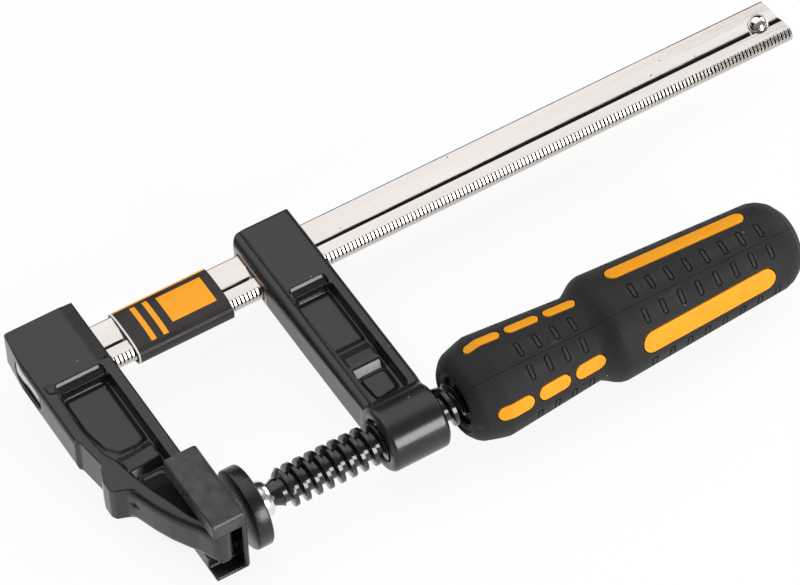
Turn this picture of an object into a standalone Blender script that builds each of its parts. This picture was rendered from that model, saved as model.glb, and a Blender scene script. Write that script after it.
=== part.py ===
"""An F-clamp: a grooved steel bar with a fixed jaw at one end, and a sliding arm that carries a screw
spindle with a swivel pad and a two-part handle.

Lengths are in metres. X runs along the bar, away from the fixed jaw, and Z is up, square to the wide
face of the bar. The origin is on the spindle's axis, at the clamping face of the fixed jaw's cap.
"""

from math import asin, cos, degrees, pi, radians, sin, sqrt

import bmesh
import bpy
from mathutils import Matrix

# Layout of the whole clamp
THROAT_DEPTH = 0.0500
REST_GAP = 0.0021
CLEARANCE = 0.0003
OVERRUN = 0.0010

# Bar
BAR_LENGTH = 0.2045
BAR_WIDTH = 0.0122
BAR_THICKNESS = 0.0042
BAR_END_INSET = 0.0007
BAR_END_SLANT = 0.0013
GROOVE_WIDTH = 0.0038
GROOVE_DEPTH = 0.0007
TOOTH_PITCH = 0.0010
TOOTH_DEPTH = 0.0004

# Stop ball in the bar's groove
STOP_BALL_RADIUS = 0.00245
STOP_BALL_INSET = 0.0056

# Label sleeve round the bar
SLEEVE_INSET = 0.0065
SLEEVE_LENGTH = 0.0250
SLEEVE_WALL = 0.0004
SLEEVE_EDGE_BULGE = 0.0018
SLEEVE_FACE_BULGE = 0.00105
SLEEVE_SQUARENESS = 4

# Both castings
CASTING_THICKNESS = 0.0106
CASTING_EDGE_ROUND = 0.0007
POCKET_DEPTH = 0.0032
LEDGE_DEPTH = 0.0020
LEDGE_WIDTH = 0.0023
RIDGE_HEIGHT = 0.0012

# Fixed jaw
JAW_SETBACK = 0.0023
JAW_DEPTH = 0.0189
JAW_HEAD_HEIGHT = 0.0063
JAW_FOOT_LENGTH = 0.0075
JAW_POCKET_TO_BAR = 0.0009
JAW_SLOT_HEIGHT = 0.0058
JAW_SLOT_ROUND = 0.0014
FOOT_ROUND = 0.0026

# Cap on the fixed jaw's foot
CAP_WIDTH = 0.0204
CAP_DEPTH = 0.0085
CAP_PLATE = 0.0012
CAP_FOOT_OVERHANG = 0.0005
CAP_TOP_REACH = 0.0145
CAP_CORNER_ROUND = 0.0010
CAP_LIP = 0.0010
CAP_RECESS_LENGTH = 0.0040

# Sliding arm
ARM_DEPTH = 0.0160
ARM_HEAD_HEIGHT = 0.0038
ARM_POCKET_TO_BAR = 0.0056
ARM_CORNER_ROUND = 0.0033
BOSS_RADIUS = 0.00813
BOSS_LENGTH = 0.0150
BOSS_SETBACK = 0.0004
BOSS_COUNTERSINK = 0.0010

# Spindle
SPINDLE_MAJOR_RADIUS = 0.0050
SPINDLE_MINOR_RADIUS = 0.00325
SPINDLE_PITCH = 0.0030
THREAD_CREST_WIDTH = 0.0010
THREAD_ROOT_WIDTH = 0.0020
THREAD_LENGTH = 0.0470
SPINDLE_TAIL = 0.0400
BALL_RADIUS = 0.0026
NECK_RADIUS = 0.0021
NECK_LENGTH = 0.0014
CONE_LENGTH = 0.0032
CONE_START_RADIUS = 0.0025
CONE_END_RADIUS = 0.0037

# Swivel pad and its cap
PAD_CAP_RADIUS = 0.00987
PAD_CAP_THICKNESS = 0.00362
PAD_CAP_FACE = 0.0013
PAD_CAP_RIM = 0.0012
PAD_CAP_CHAMFER = 0.0005
PAD_DISC_THICKNESS = 0.0017
SOCKET_RADIUS = 0.0046
SOCKET_LENGTH = 0.0043
SOCKET_MOUTH_RADIUS = 0.0024
SOCKET_FLOOR = 0.0004

# Handle
HANDLE_GAP = 0.0054
HANDLE_LENGTH = 0.0916
HANDLE_RADIUS = 0.0133
GRIP_WALL = 0.0022
MOUTH_RADIUS = 0.0060
MOUTH_DEPTH = 0.0024
STRIPE_WIDTH = 0.0053
DASH_WIDTH = 0.0033
STRIPE_PROUD = 0.00015

# Outlines and tables, as shares of the sizes that they follow
# Fixed jaw: along its depth from back to front, and up from the foot's end to the bar
JAW_OUTLINE_SHARES = (
    (1.000, 0.150),
    (0.957, 0.000),
    (0.690, 0.000),
    (0.665, 0.040),
    (0.610, 0.088),
    (0.535, 0.125),
    (0.413, 0.195),
    (0.312, 0.271),
    (0.222, 0.357),
    (0.170, 0.391),
    (0.037, 0.407),
    (0.000, 0.428),
    (0.000, 0.477),
    (0.053, 0.525),
    (0.106, 0.548),
    (0.048, 0.687),
    (0.000, 0.705),
    (0.000, 1.140),
)
JAW_HEAD_TAPER_SHARE = 0.063
JAW_POCKET_SHARES = (
    (0.857, 0.061),
    (0.750, 0.061),
    (0.725, 0.092),
    (0.630, 0.151),
    (0.561, 0.224),
    (0.429, 0.350),
    (0.349, 0.440),
    (0.296, 0.532),
    (0.217, 0.590),
    (0.164, 0.740),
    (0.185, 0.946),
)
JAW_RIDGE_SHARES = ((0.20, 0.485), (0.93, 0.485), (0.93, 0.546), (0.20, 0.546))

# Sliding arm: along its depth from back to front, and up from the spindle's axis to the bar
ARM_BACK_SHARES = ((0.060, 0.000), (0.038, 0.240), (0.000, 1.000))
ARM_POCKET_SHARES = (
    (0.832, 0.132),
    (0.292, 0.132),
    (0.254, 0.240),
    (0.229, 0.560),
    (0.198, 0.840),
)
ARM_RIDGE_SHARES = ((0.15, 0.364), (0.90, 0.364), (0.90, 0.432), (0.15, 0.432))

# Socket of the swivel pad: along its length from the disc, and out to its radius
SOCKET_SHARES = ((1.000, 0.83), (0.880, 0.91), (0.650, 0.96), (0.000, 1.00))

# Thread ridge: how much of its height lies below the core's surface
THREAD_SINK_SHARE = 0.25

# Handle: along its length from the mouth, and out to its largest radius
HANDLE_SHARES = (
    (0.000, 0.639),
    (0.0175, 0.774),
    (0.028, 0.823),
    (0.048, 0.865),
    (0.070, 0.906),
    (0.092, 0.940),
    (0.368, 0.789),
    (0.384, 0.842),
    (0.405, 0.940),
    (0.419, 0.985),
    (0.432, 1.000),
    (0.917, 0.823),
    (0.939, 0.778),
    (0.961, 0.684),
    (0.983, 0.489),
    (0.993, 0.308),
    (1.000, 0.000),
)
STRIPE_ENDS_SHARES = ((0.472, 0.870),)
DASH_ENDS_SHARES = ((0.059, 0.150), (0.175, 0.263), (0.286, 0.368))
STRIPE_TURN_SHARE = -0.05
INLAY_ROOT_SHARE = 0.33
STRIPE_LINES = 4

# Materials: colour, roughness and metallic value
BRIGHT_STEEL = ((0.77, 0.72, 0.67), 0.30, 1)
POLISHED_STEEL = ((0.70, 0.70, 0.70), 0.10, 1)
BLACK_STEEL = ((0.030, 0.030, 0.030), 0.20, 0.6)
BLACK_PAINT = ((0.055, 0.055, 0.055), 0.35, 0)
BLACK_PLASTIC = ((0.045, 0.045, 0.045), 0.60, 0)
LABEL_FILM = ((0.060, 0.050, 0.050), 0.40, 0)
ORANGE_PLASTIC = ((0.97, 0.40, 0.02), 0.40, 0)
BLACK_RUBBER = ((0.045, 0.045, 0.045), 0.75, 0)

# Facets of the round shapes
ROUND_STEPS = 32
ARC_STEPS = 6
SPINDLE_STEPS = 14
SLEEVE_STEPS = 40
BALL_STEPS = 16
BEVEL_STEPS = 2
WELD_DISTANCE = 0.000001
SHARP_ANGLE = radians(35)

# Places that follow from the sizes
BAR_CENTRE_Y = THROAT_DEPTH + BAR_WIDTH / 2
JAW_FRONT_X = -JAW_SETBACK
JAW_BACK_X = JAW_FRONT_X - JAW_DEPTH
JAW_REACH = THROAT_DEPTH + JAW_FOOT_LENGTH
JAW_TOP_Y = THROAT_DEPTH + BAR_WIDTH + JAW_HEAD_HEIGHT
BAR_START_X = JAW_BACK_X + BAR_END_INSET
BAR_END_X = BAR_START_X + BAR_LENGTH
PAD_DISC_X = REST_GAP + PAD_CAP_FACE + CLEARANCE
SOCKET_X = PAD_DISC_X + PAD_DISC_THICKNESS
SOCKET_END_X = SOCKET_X + SOCKET_LENGTH
CAVITY_RADIUS = BALL_RADIUS + CLEARANCE
BALL_X = PAD_DISC_X + SOCKET_FLOOR + CAVITY_RADIUS
NECK_X = BALL_X + sqrt(BALL_RADIUS**2 - NECK_RADIUS**2)
CONE_X = NECK_X + NECK_LENGTH
THREAD_X = CONE_X + CONE_LENGTH
THREAD_END_X = THREAD_X + THREAD_LENGTH
HANDLE_X = THREAD_END_X - CLEARANCE - MOUTH_DEPTH / 2
SPINDLE_END_X = THREAD_END_X + SPINDLE_TAIL
BOSS_END_X = HANDLE_X - HANDLE_GAP
BOSS_X = BOSS_END_X - BOSS_LENGTH
ARM_FRONT_X = BOSS_END_X + BOSS_SETBACK
ARM_BACK_X = ARM_FRONT_X - ARM_DEPTH
ARM_TOP_Y = THROAT_DEPTH + BAR_WIDTH + ARM_HEAD_HEIGHT


def collection_named(name, hidden=False):
    made = bpy.data.collections.new(name)
    made.hide_render = hidden
    bpy.context.scene.collection.children.link(made)
    return made


def material_named(name, colour, roughness, metallic):
    made = bpy.data.materials.new(name)
    made.use_nodes = True
    shader = made.node_tree.nodes["Principled BSDF"]
    shader.inputs["Base Color"].default_value = (*colour, 1)
    shader.inputs["Roughness"].default_value = roughness
    shader.inputs["Metallic"].default_value = metallic
    return made


def add_object(name, mesh, collection):
    made = bpy.data.objects.new(name, mesh)
    collection.objects.link(made)
    return made


def weld(mesh):
    """Joins the loose caps of a filled curve to its sides."""
    shape = bmesh.new()
    shape.from_mesh(mesh)
    bmesh.ops.remove_doubles(shape, verts=shape.verts, dist=WELD_DISTANCE)
    bmesh.ops.recalc_face_normals(shape, faces=shape.faces)
    shape.to_mesh(mesh)
    shape.free()


def evaluated_mesh(name, holder):
    """The welded mesh of an object as its modifiers leave it. The object is then removed."""
    graph = bpy.context.evaluated_depsgraph_get()
    mesh = bpy.data.meshes.new_from_object(holder.evaluated_get(graph))
    mesh.name = name
    bpy.data.objects.remove(holder)
    weld(mesh)
    return mesh


def flat_mesh(name, outlines, thickness):
    """A plate of this thickness, centred on its own XY plane. Outlines inside others are holes."""
    curve = bpy.data.curves.new(name, "CURVE")
    curve.dimensions = "2D"
    curve.fill_mode = "BOTH"
    curve.extrude = thickness / 2
    for outline in outlines:
        add_polygon(curve, outline)
    holder = add_object(name, curve, bpy.context.scene.collection)
    return evaluated_mesh(name, holder)


def add_polygon(curve, outline):
    spline = curve.splines.new("POLY")
    spline.points.add(len(outline) - 1)
    for point, (x, y) in zip(spline.points, outline):
        point.co = (x, y, 0, 1)
    spline.use_cyclic_u = True


def smooth(mesh):
    mesh.shade_smooth()
    mesh.set_sharp_from_angle(angle=SHARP_ANGLE)


def arc(centre, radius, first, last, steps=ARC_STEPS):
    """Points from one angle to another, in degrees, both ends included."""
    turns = [radians(first + (last - first) * i / steps) for i in range(steps + 1)]
    return [(centre[0] + radius * cos(t), centre[1] + radius * sin(t)) for t in turns]


def rounded_box(width, height, radius):
    """The outline of a box about its own centre, with round corners."""
    x = width / 2 - radius
    y = height / 2 - radius
    corners = (((x, y), 0), ((-x, y), 90), ((-x, -y), 180), ((x, -y), 270))
    return [point for centre, first in corners for point in arc(centre, radius, first, first + 90)]


def placed(obj, location, lie="XY"):
    """Puts a plate down: its own XY plane comes to lie in the world's XY, XZ or YZ plane."""
    turns = {"XY": (0, 0, 0), "XZ": (pi / 2, 0, 0), "YZ": (pi / 2, 0, pi / 2)}
    obj.location = location
    obj.rotation_euler = turns[lie]
    return obj


def turned(name, profile, steps, collection):
    """A solid turned about X. The profile's (x, radius) points run down its outer side, from +X."""
    wire = bpy.data.meshes.new(name)
    edges = [(i, i + 1) for i in range(len(profile) - 1)]
    wire.from_pydata([(radius, 0, x) for x, radius in profile], edges, [])
    holder = add_object(name, wire, bpy.context.scene.collection)
    screw = holder.modifiers.new("Turn", "SCREW")
    screw.steps = steps
    screw.render_steps = steps
    screw.use_merge_vertices = True
    screw.merge_threshold = WELD_DISTANCE
    made = add_object(name, evaluated_mesh(name, holder), collection)
    made.rotation_euler = (0, pi / 2, 0)
    smooth(made.data)
    return made


def boolean(target, tool, operation):
    modifier = target.modifiers.new(f"{operation.title()} {tool.name}", "BOOLEAN")
    modifier.operation = operation
    modifier.solver = "EXACT"
    modifier.object = tool
    tool.display_type = "WIRE"
    tool.hide_render = True


def bevel(obj, width):
    modifier = obj.modifiers.new("Edges", "BEVEL")
    modifier.width = width
    modifier.segments = BEVEL_STEPS
    modifier.limit_method = "ANGLE"
    modifier.angle_limit = SHARP_ANGLE


def cutter_box(name, low, high, collection):
    """A box between two corners, as a tool for a Boolean."""
    bpy.ops.mesh.primitive_cube_add(size=1)
    made = bpy.context.object
    made.name = name
    sizes = [b - a for a, b in zip(low, high)]
    centre = [(a + b) / 2 for a, b in zip(low, high)]
    made.data.transform(Matrix.Diagonal((*sizes, 1)))
    made.location = centre
    for holder in made.users_collection:
        holder.objects.unlink(made)
    collection.objects.link(made)
    return made


def cutter_rod(name, radius, start_x, end_x, collection):
    """A round rod along the spindle's axis, as a tool for a Boolean."""
    profile = [(end_x, 0), (end_x, radius), (start_x, radius), (start_x, 0)]
    return turned(name, profile, ROUND_STEPS, collection)


def shared_points(shares, start_x, size_x, start_y, size_y):
    """Turns a table of shares into points."""
    return [(start_x + a * size_x, start_y + b * size_y) for a, b in shares]


def toothed_line(start_x, length, y, depth):
    """Points along one narrow edge of the bar: each tooth has its crest at y and a root this deep."""
    count = int(length / TOOTH_PITCH)
    points = [(start_x, y)]
    for i in range(count):
        x = start_x + i * TOOTH_PITCH
        points += [(x + TOOTH_PITCH / 2, y - depth), (x + TOOTH_PITCH, y)]
    return points


def rail_bar(parts, cutters):
    lower = toothed_line(BAR_START_X, BAR_LENGTH, THROAT_DEPTH, -TOOTH_DEPTH)
    upper = toothed_line(BAR_START_X, BAR_LENGTH, THROAT_DEPTH + BAR_WIDTH, TOOTH_DEPTH)
    upper_end_x = BAR_END_X - BAR_END_SLANT
    outline = [point for point in lower if point[0] < BAR_END_X]
    outline += [(BAR_END_X, THROAT_DEPTH), (upper_end_x, THROAT_DEPTH + BAR_WIDTH)]
    outline += reversed([point for point in upper if point[0] < upper_end_x])
    made = add_object("rail_bar", flat_mesh("rail_bar", [outline], BAR_THICKNESS), parts)
    for side in (1, -1):
        boolean(made, groove_tool(side, cutters), "DIFFERENCE")
    boolean(made, ball_hole(cutters), "DIFFERENCE")
    return made


def groove_tool(side, cutters):
    """A rod whose lower side leaves the shallow groove along a wide face of the bar."""
    radius = (GROOVE_WIDTH**2 / 4 + GROOVE_DEPTH**2) / (2 * GROOVE_DEPTH)
    tool = cutter_rod("groove_tool", radius, BAR_START_X - OVERRUN, BAR_END_X + OVERRUN, cutters)
    height = BAR_THICKNESS / 2 + radius - GROOVE_DEPTH
    tool.location = (0, BAR_CENTRE_Y, side * height)
    return tool


def ball_hole(cutters):
    radius = STOP_BALL_RADIUS + CLEARANCE
    depth = BAR_THICKNESS / 2 - radius
    outline = arc((0, 0), radius, 0, 360 - 360 / ROUND_STEPS, ROUND_STEPS - 1)
    height = radius + OVERRUN
    tool = add_object("ball_hole", flat_mesh("ball_hole", [outline], height), cutters)
    return placed(tool, (BAR_END_X - STOP_BALL_INSET, BAR_CENTRE_Y, depth + height / 2))


def stop_ball(parts):
    mesh = bpy.data.meshes.new("stop_ball")
    shape = bmesh.new()
    rings = BALL_STEPS // 2
    bmesh.ops.create_uvsphere(shape, u_segments=BALL_STEPS, v_segments=rings, radius=STOP_BALL_RADIUS)
    shape.to_mesh(mesh)
    shape.free()
    made = add_object("stop_ball", mesh, parts)
    made.location = (BAR_END_X - STOP_BALL_INSET, BAR_CENTRE_Y, BAR_THICKNESS / 2)
    mesh.shade_smooth()
    return made


def oval(half_width, half_height):
    """A rounded oval, squarer than an ellipse."""
    points = []
    for i in range(SLEEVE_STEPS):
        turn = 2 * pi * i / SLEEVE_STEPS
        total = abs(cos(turn)) ** SLEEVE_SQUARENESS + abs(sin(turn)) ** SLEEVE_SQUARENESS
        reach = total ** (-1 / SLEEVE_SQUARENESS)
        points.append((half_width * reach * cos(turn), half_height * reach * sin(turn)))
    return points


def label_sleeve(parts):
    width = BAR_WIDTH / 2 + SLEEVE_EDGE_BULGE
    height = BAR_THICKNESS / 2 + SLEEVE_FACE_BULGE
    outlines = [oval(width, height), oval(width - SLEEVE_WALL, height - SLEEVE_WALL)]
    mesh = flat_mesh("label_sleeve", outlines, SLEEVE_LENGTH)
    smooth(mesh)
    made = add_object("label_sleeve", mesh, parts)
    middle = JAW_FRONT_X + SLEEVE_INSET + SLEEVE_LENGTH / 2
    return placed(made, (middle, BAR_CENTRE_Y, 0), "YZ")


def pocket_outline(points, top_y):
    """A pocket's outline: its lower points, then straight up both sides to a square top edge."""
    first = (points[0][0], top_y)
    last = (points[-1][0], top_y)
    return [first] + points + [last]


def cut_pockets(casting, points, top_y, cutters):
    """The stepped pocket in both wide faces, which leaves a web between them."""
    for depth, top in ((LEDGE_DEPTH, top_y), (POCKET_DEPTH, top_y - LEDGE_WIDTH)):
        for side in (1, -1):
            height = depth + OVERRUN
            mesh = flat_mesh("pocket", [pocket_outline(points, top)], height)
            tool = add_object("pocket", mesh, cutters)
            middle = CASTING_THICKNESS / 2 - depth + height / 2
            boolean(casting, placed(tool, (0, 0, side * middle)), "DIFFERENCE")


def add_ridge(casting, points, cutters):
    """The raised rib across both pockets."""
    height = CASTING_THICKNESS + 2 * (RIDGE_HEIGHT - POCKET_DEPTH)
    ridge = add_object("ridge", flat_mesh("ridge", [points], height), cutters)
    boolean(casting, ridge, "UNION")


def bar_slot(casting, start_x, end_x, height, corner, cutters):
    """The slot that the bar runs through."""
    outline = rounded_box(BAR_WIDTH + 2 * CLEARANCE, height, corner)
    length = end_x - start_x + 2 * OVERRUN
    tool = add_object("bar_slot", flat_mesh("bar_slot", [outline], length), cutters)
    middle = (start_x + end_x) / 2
    boolean(casting, placed(tool, (middle, BAR_CENTRE_Y, 0), "YZ"), "DIFFERENCE")


def fixed_jaw(parts, cutters):
    points = shared_points(JAW_OUTLINE_SHARES, JAW_BACK_X, JAW_DEPTH, -JAW_FOOT_LENGTH, JAW_REACH)
    head = [(JAW_BACK_X + JAW_HEAD_TAPER_SHARE * JAW_DEPTH, JAW_TOP_Y), (JAW_FRONT_X, JAW_TOP_Y)]
    mesh = flat_mesh("fixed_jaw", [points + head], CASTING_THICKNESS)
    smooth(mesh)
    made = add_object("fixed_jaw", mesh, parts)
    bevel(made, CASTING_EDGE_ROUND)
    pocket = shared_points(JAW_POCKET_SHARES, JAW_BACK_X, JAW_DEPTH, -JAW_FOOT_LENGTH, JAW_REACH)
    cut_pockets(made, pocket, THROAT_DEPTH - JAW_POCKET_TO_BAR, cutters)
    ridge = shared_points(JAW_RIDGE_SHARES, JAW_BACK_X, JAW_DEPTH, -JAW_FOOT_LENGTH, JAW_REACH)
    add_ridge(made, ridge, cutters)
    bar_slot(made, JAW_BACK_X, JAW_FRONT_X, JAW_SLOT_HEIGHT, JAW_SLOT_ROUND, cutters)
    boolean(made, foot_rounding(cutters), "DIFFERENCE")
    return made


def foot_rounding(cutters):
    """Leaves the round lower front corner of the jaw's foot, under its cap."""
    low = -CASTING_THICKNESS / 2
    centre = (JAW_FRONT_X - FOOT_ROUND, low + FOOT_ROUND)
    outline = arc(centre, FOOT_ROUND, 0, -90)
    beyond = JAW_FRONT_X + OVERRUN
    outline += [(centre[0], low - OVERRUN), (beyond, low - OVERRUN), (beyond, centre[1])]
    length = JAW_FOOT_LENGTH + CAP_TOP_REACH + 2 * OVERRUN
    tool = add_object("foot_rounding", flat_mesh("foot_rounding", [outline], length), cutters)
    return placed(tool, (0, (CAP_TOP_REACH - JAW_FOOT_LENGTH) / 2, 0), "XZ")


def fixed_jaw_cap(parts, cutters):
    """The moulded cap: a channel that hugs the foot, with a thin lip round a recess at its lower end."""
    half = CAP_WIDTH / 2
    inside = CASTING_THICKNESS / 2 + CLEARANCE
    corner = half - CAP_CORNER_ROUND
    outline = [(-CAP_DEPTH, half)]
    outline += arc((-CAP_CORNER_ROUND, corner), CAP_CORNER_ROUND, 90, 0)
    outline += arc((-CAP_CORNER_ROUND, -corner), CAP_CORNER_ROUND, 0, -90)
    outline += [(-CAP_DEPTH, -half), (-CAP_DEPTH, -inside), (-CAP_PLATE, -inside)]
    outline += [(-CAP_PLATE, inside), (-CAP_DEPTH, inside)]
    length = CAP_TOP_REACH + JAW_FOOT_LENGTH + CAP_FOOT_OVERHANG
    start = -JAW_FOOT_LENGTH - CAP_FOOT_OVERHANG
    made = add_object("fixed_jaw_cap", flat_mesh("fixed_jaw_cap", [outline], length), parts)
    placed(made, (0, start + length / 2, 0), "XZ")
    low = (-CAP_DEPTH - OVERRUN, start - OVERRUN, CAP_LIP - half)
    high = (-CAP_PLATE, start + CAP_RECESS_LENGTH, OVERRUN - inside)
    boolean(made, cutter_box("cap_recess", low, high, cutters), "DIFFERENCE")
    return made


def sliding_arm(parts, cutters):
    centre = (ARM_BACK_X + ARM_CORNER_ROUND, ARM_TOP_Y - ARM_CORNER_ROUND)
    corner = arc(centre, ARM_CORNER_ROUND, 180, 90)
    back = shared_points(ARM_BACK_SHARES, ARM_BACK_X, ARM_DEPTH, 0, THROAT_DEPTH)
    front = [(ARM_FRONT_X, ARM_TOP_Y), (ARM_FRONT_X, BOSS_RADIUS), (BOSS_END_X, 0)]
    mesh = flat_mesh("sliding_arm", [back + corner + front], CASTING_THICKNESS)
    smooth(mesh)
    made = add_object("sliding_arm", mesh, parts)
    bevel(made, CASTING_EDGE_ROUND)
    pocket = shared_points(ARM_POCKET_SHARES, ARM_BACK_X, ARM_DEPTH, 0, THROAT_DEPTH)
    cut_pockets(made, pocket, THROAT_DEPTH - ARM_POCKET_TO_BAR, cutters)
    ridge = shared_points(ARM_RIDGE_SHARES, ARM_BACK_X, ARM_DEPTH, 0, THROAT_DEPTH)
    add_ridge(made, ridge, cutters)
    height = BAR_THICKNESS + 2 * CLEARANCE
    bar_slot(made, ARM_BACK_X, ARM_FRONT_X, height, CLEARANCE, cutters)
    boolean(made, cutter_rod("boss", BOSS_RADIUS, BOSS_X, BOSS_END_X, cutters), "UNION")
    boolean(made, boss_bore(cutters), "DIFFERENCE")
    return made


def boss_bore(cutters):
    """The bore through the boss, wide enough for the thread's crests, countersunk at both ends."""
    radius = SPINDLE_MAJOR_RADIUS + CLEARANCE
    wide = radius + BOSS_COUNTERSINK + OVERRUN
    profile = [
        (BOSS_END_X + OVERRUN, 0),
        (BOSS_END_X + OVERRUN, wide),
        (BOSS_END_X - BOSS_COUNTERSINK, radius),
        (BOSS_X + BOSS_COUNTERSINK, radius),
        (BOSS_X - OVERRUN, wide),
        (BOSS_X - OVERRUN, 0),
    ]
    return turned("boss_bore", profile, ROUND_STEPS, cutters)


def spindle(parts, cutters):
    neck_angle = degrees(asin(NECK_RADIUS / BALL_RADIUS))
    ball = arc((BALL_X, 0), BALL_RADIUS, neck_angle, 180, BALL_STEPS // 2)
    profile = [
        (SPINDLE_END_X, 0),
        (SPINDLE_END_X, SPINDLE_MINOR_RADIUS),
        (THREAD_X, SPINDLE_MINOR_RADIUS),
        (THREAD_X, CONE_END_RADIUS),
        (CONE_X, CONE_START_RADIUS),
        (CONE_X, NECK_RADIUS),
    ]
    profile += ball[:-1] + [(BALL_X - BALL_RADIUS, 0)]
    made = turned("spindle", profile, SPINDLE_STEPS, parts)
    boolean(made, thread_ridge(cutters), "UNION")
    return made


def thread_ridge(cutters):
    """The thread: a trapezium carried along a helix, its foot sunk into the core."""
    rise = SPINDLE_MAJOR_RADIUS - SPINDLE_MINOR_RADIUS
    sink = THREAD_SINK_SHARE * rise
    section = bpy.data.curves.new("thread_section", "CURVE")
    section.dimensions = "2D"
    foot = THREAD_ROOT_WIDTH / 2
    crest = THREAD_CREST_WIDTH / 2
    add_polygon(section, [(-sink, -foot), (rise, -crest), (rise, crest), (-sink, foot)])
    section_holder = add_object("thread_section", section, cutters)
    helix = bpy.data.curves.new("thread_ridge", "CURVE")
    helix.dimensions = "3D"
    helix.twist_mode = "Z_UP"
    helix.bevel_mode = "OBJECT"
    helix.bevel_object = section_holder
    helix.use_fill_caps = True
    length = THREAD_LENGTH - THREAD_ROOT_WIDTH
    count = int(SPINDLE_STEPS * length / SPINDLE_PITCH)
    spline = helix.splines.new("POLY")
    spline.points.add(count)
    for i, point in enumerate(spline.points):
        turn = 2 * pi * i / SPINDLE_STEPS
        along = THREAD_X + THREAD_ROOT_WIDTH / 2 + SPINDLE_PITCH * i / SPINDLE_STEPS
        point.co = (SPINDLE_MINOR_RADIUS * cos(turn), SPINDLE_MINOR_RADIUS * sin(turn), along, 1)
    holder = add_object("thread_ridge", helix, bpy.context.scene.collection)
    mesh = evaluated_mesh("thread_ridge", holder)
    bpy.data.objects.remove(section_holder)
    made = add_object("thread_ridge", mesh, cutters)
    made.rotation_euler = (0, pi / 2, 0)
    return made


def swivel_pad(parts):
    """The steel disc with the socket that is crimped round the spindle's ball."""
    mouth_angle = degrees(asin(SOCKET_MOUTH_RADIUS / CAVITY_RADIUS))
    cavity = arc((BALL_X, 0), CAVITY_RADIUS, 180, mouth_angle, BALL_STEPS // 2)
    disc_radius = PAD_CAP_RADIUS - PAD_CAP_RIM - CLEARANCE
    profile = [(BALL_X - CAVITY_RADIUS, 0)] + cavity[1:]
    profile += [(SOCKET_END_X, SOCKET_MOUTH_RADIUS)]
    profile += shared_points(SOCKET_SHARES, SOCKET_X, SOCKET_LENGTH, 0, SOCKET_RADIUS)
    profile += [(SOCKET_X, disc_radius), (PAD_DISC_X, disc_radius), (PAD_DISC_X, 0)]
    return turned("swivel_pad", profile, ROUND_STEPS, parts)


def pad_cap(parts):
    """The cap that is pressed over the disc, like a shallow cup."""
    back = REST_GAP + PAD_CAP_THICKNESS
    floor = REST_GAP + PAD_CAP_FACE
    inside = PAD_CAP_RADIUS - PAD_CAP_RIM
    profile = [
        (floor, 0),
        (floor, inside),
        (back, inside),
        (back, PAD_CAP_RADIUS),
        (REST_GAP + PAD_CAP_CHAMFER, PAD_CAP_RADIUS),
        (REST_GAP, PAD_CAP_RADIUS - PAD_CAP_CHAMFER),
        (REST_GAP, 0),
    ]
    return turned("pad_cap", profile, ROUND_STEPS, parts)


def handle_radius(along):
    """The handle's radius at a distance from its mouth."""
    share = along / HANDLE_LENGTH
    for (a, r), (b, s) in zip(HANDLE_SHARES, HANDLE_SHARES[1:]):
        if share <= b:
            return HANDLE_RADIUS * (r + (s - r) * (share - a) / (b - a))
    return 0


def handle_side(start, end, inset):
    """Points along the handle's side, from the end to the start, this far inside its surface."""
    places = [share * HANDLE_LENGTH for share, radius in HANDLE_SHARES]
    places = [start] + [place for place in places if start < place < end] + [end]
    points = [(HANDLE_X + place, handle_radius(place) - inset) for place in places]
    return list(reversed(points))


def handle_grip(parts, cutters):
    """The soft outer sleeve, with its mouth, its hollow and the windows for the inlays."""
    hollow_end = HANDLE_LENGTH - GRIP_WALL
    outer = [(HANDLE_X + a * HANDLE_LENGTH, r * HANDLE_RADIUS) for a, r in reversed(HANDLE_SHARES)]
    mouth = [(HANDLE_X, MOUTH_RADIUS), (HANDLE_X + MOUTH_DEPTH, MOUTH_RADIUS)]
    hollow = list(reversed(handle_side(MOUTH_DEPTH, hollow_end, GRIP_WALL)))
    profile = outer + mouth + hollow + [(HANDLE_X + hollow_end, 0)]
    made = turned("handle_grip", profile, ROUND_STEPS, parts)
    boolean(made, inlay_tool("grip_windows", CLEARANCE, cutters), "DIFFERENCE")
    return made


def handle_core(parts, cutters):
    """The stiff inner core, whose raised inlays show in the sleeve's windows."""
    start = MOUTH_DEPTH + CLEARANCE
    end = HANDLE_LENGTH - GRIP_WALL - CLEARANCE
    bore = SPINDLE_MINOR_RADIUS + CLEARANCE
    side = handle_side(start, end, GRIP_WALL + CLEARANCE)
    bore_end = SPINDLE_END_X + CLEARANCE
    profile = [(HANDLE_X + end, 0)] + side
    profile += [(HANDLE_X + start, bore), (bore_end, bore), (bore_end, 0)]
    made = turned("handle_core", profile, ROUND_STEPS, parts)
    inlays = inlay_tool("inlays", 0, cutters)
    skin_start = DASH_ENDS_SHARES[0][0] * HANDLE_LENGTH - STRIPE_WIDTH / 2
    skin_end = STRIPE_ENDS_SHARES[0][1] * HANDLE_LENGTH + STRIPE_WIDTH / 2
    skin = handle_side(skin_start, skin_end, -STRIPE_PROUD)
    skin = [(skin[0][0], 0)] + skin + [(skin[-1][0], 0)]
    boolean(inlays, turned("inlay_skin", skin, ROUND_STEPS, cutters), "INTERSECT")
    boolean(made, inlays, "UNION")
    return made


def stadium(start, end, width):
    """A bar outline with round ends, whose tips lie at start and end."""
    radius = width / 2
    right = arc((end - radius, 0), radius, -90, 90)
    left = arc((start + radius, 0), radius, 90, 270)
    return right + left


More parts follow.
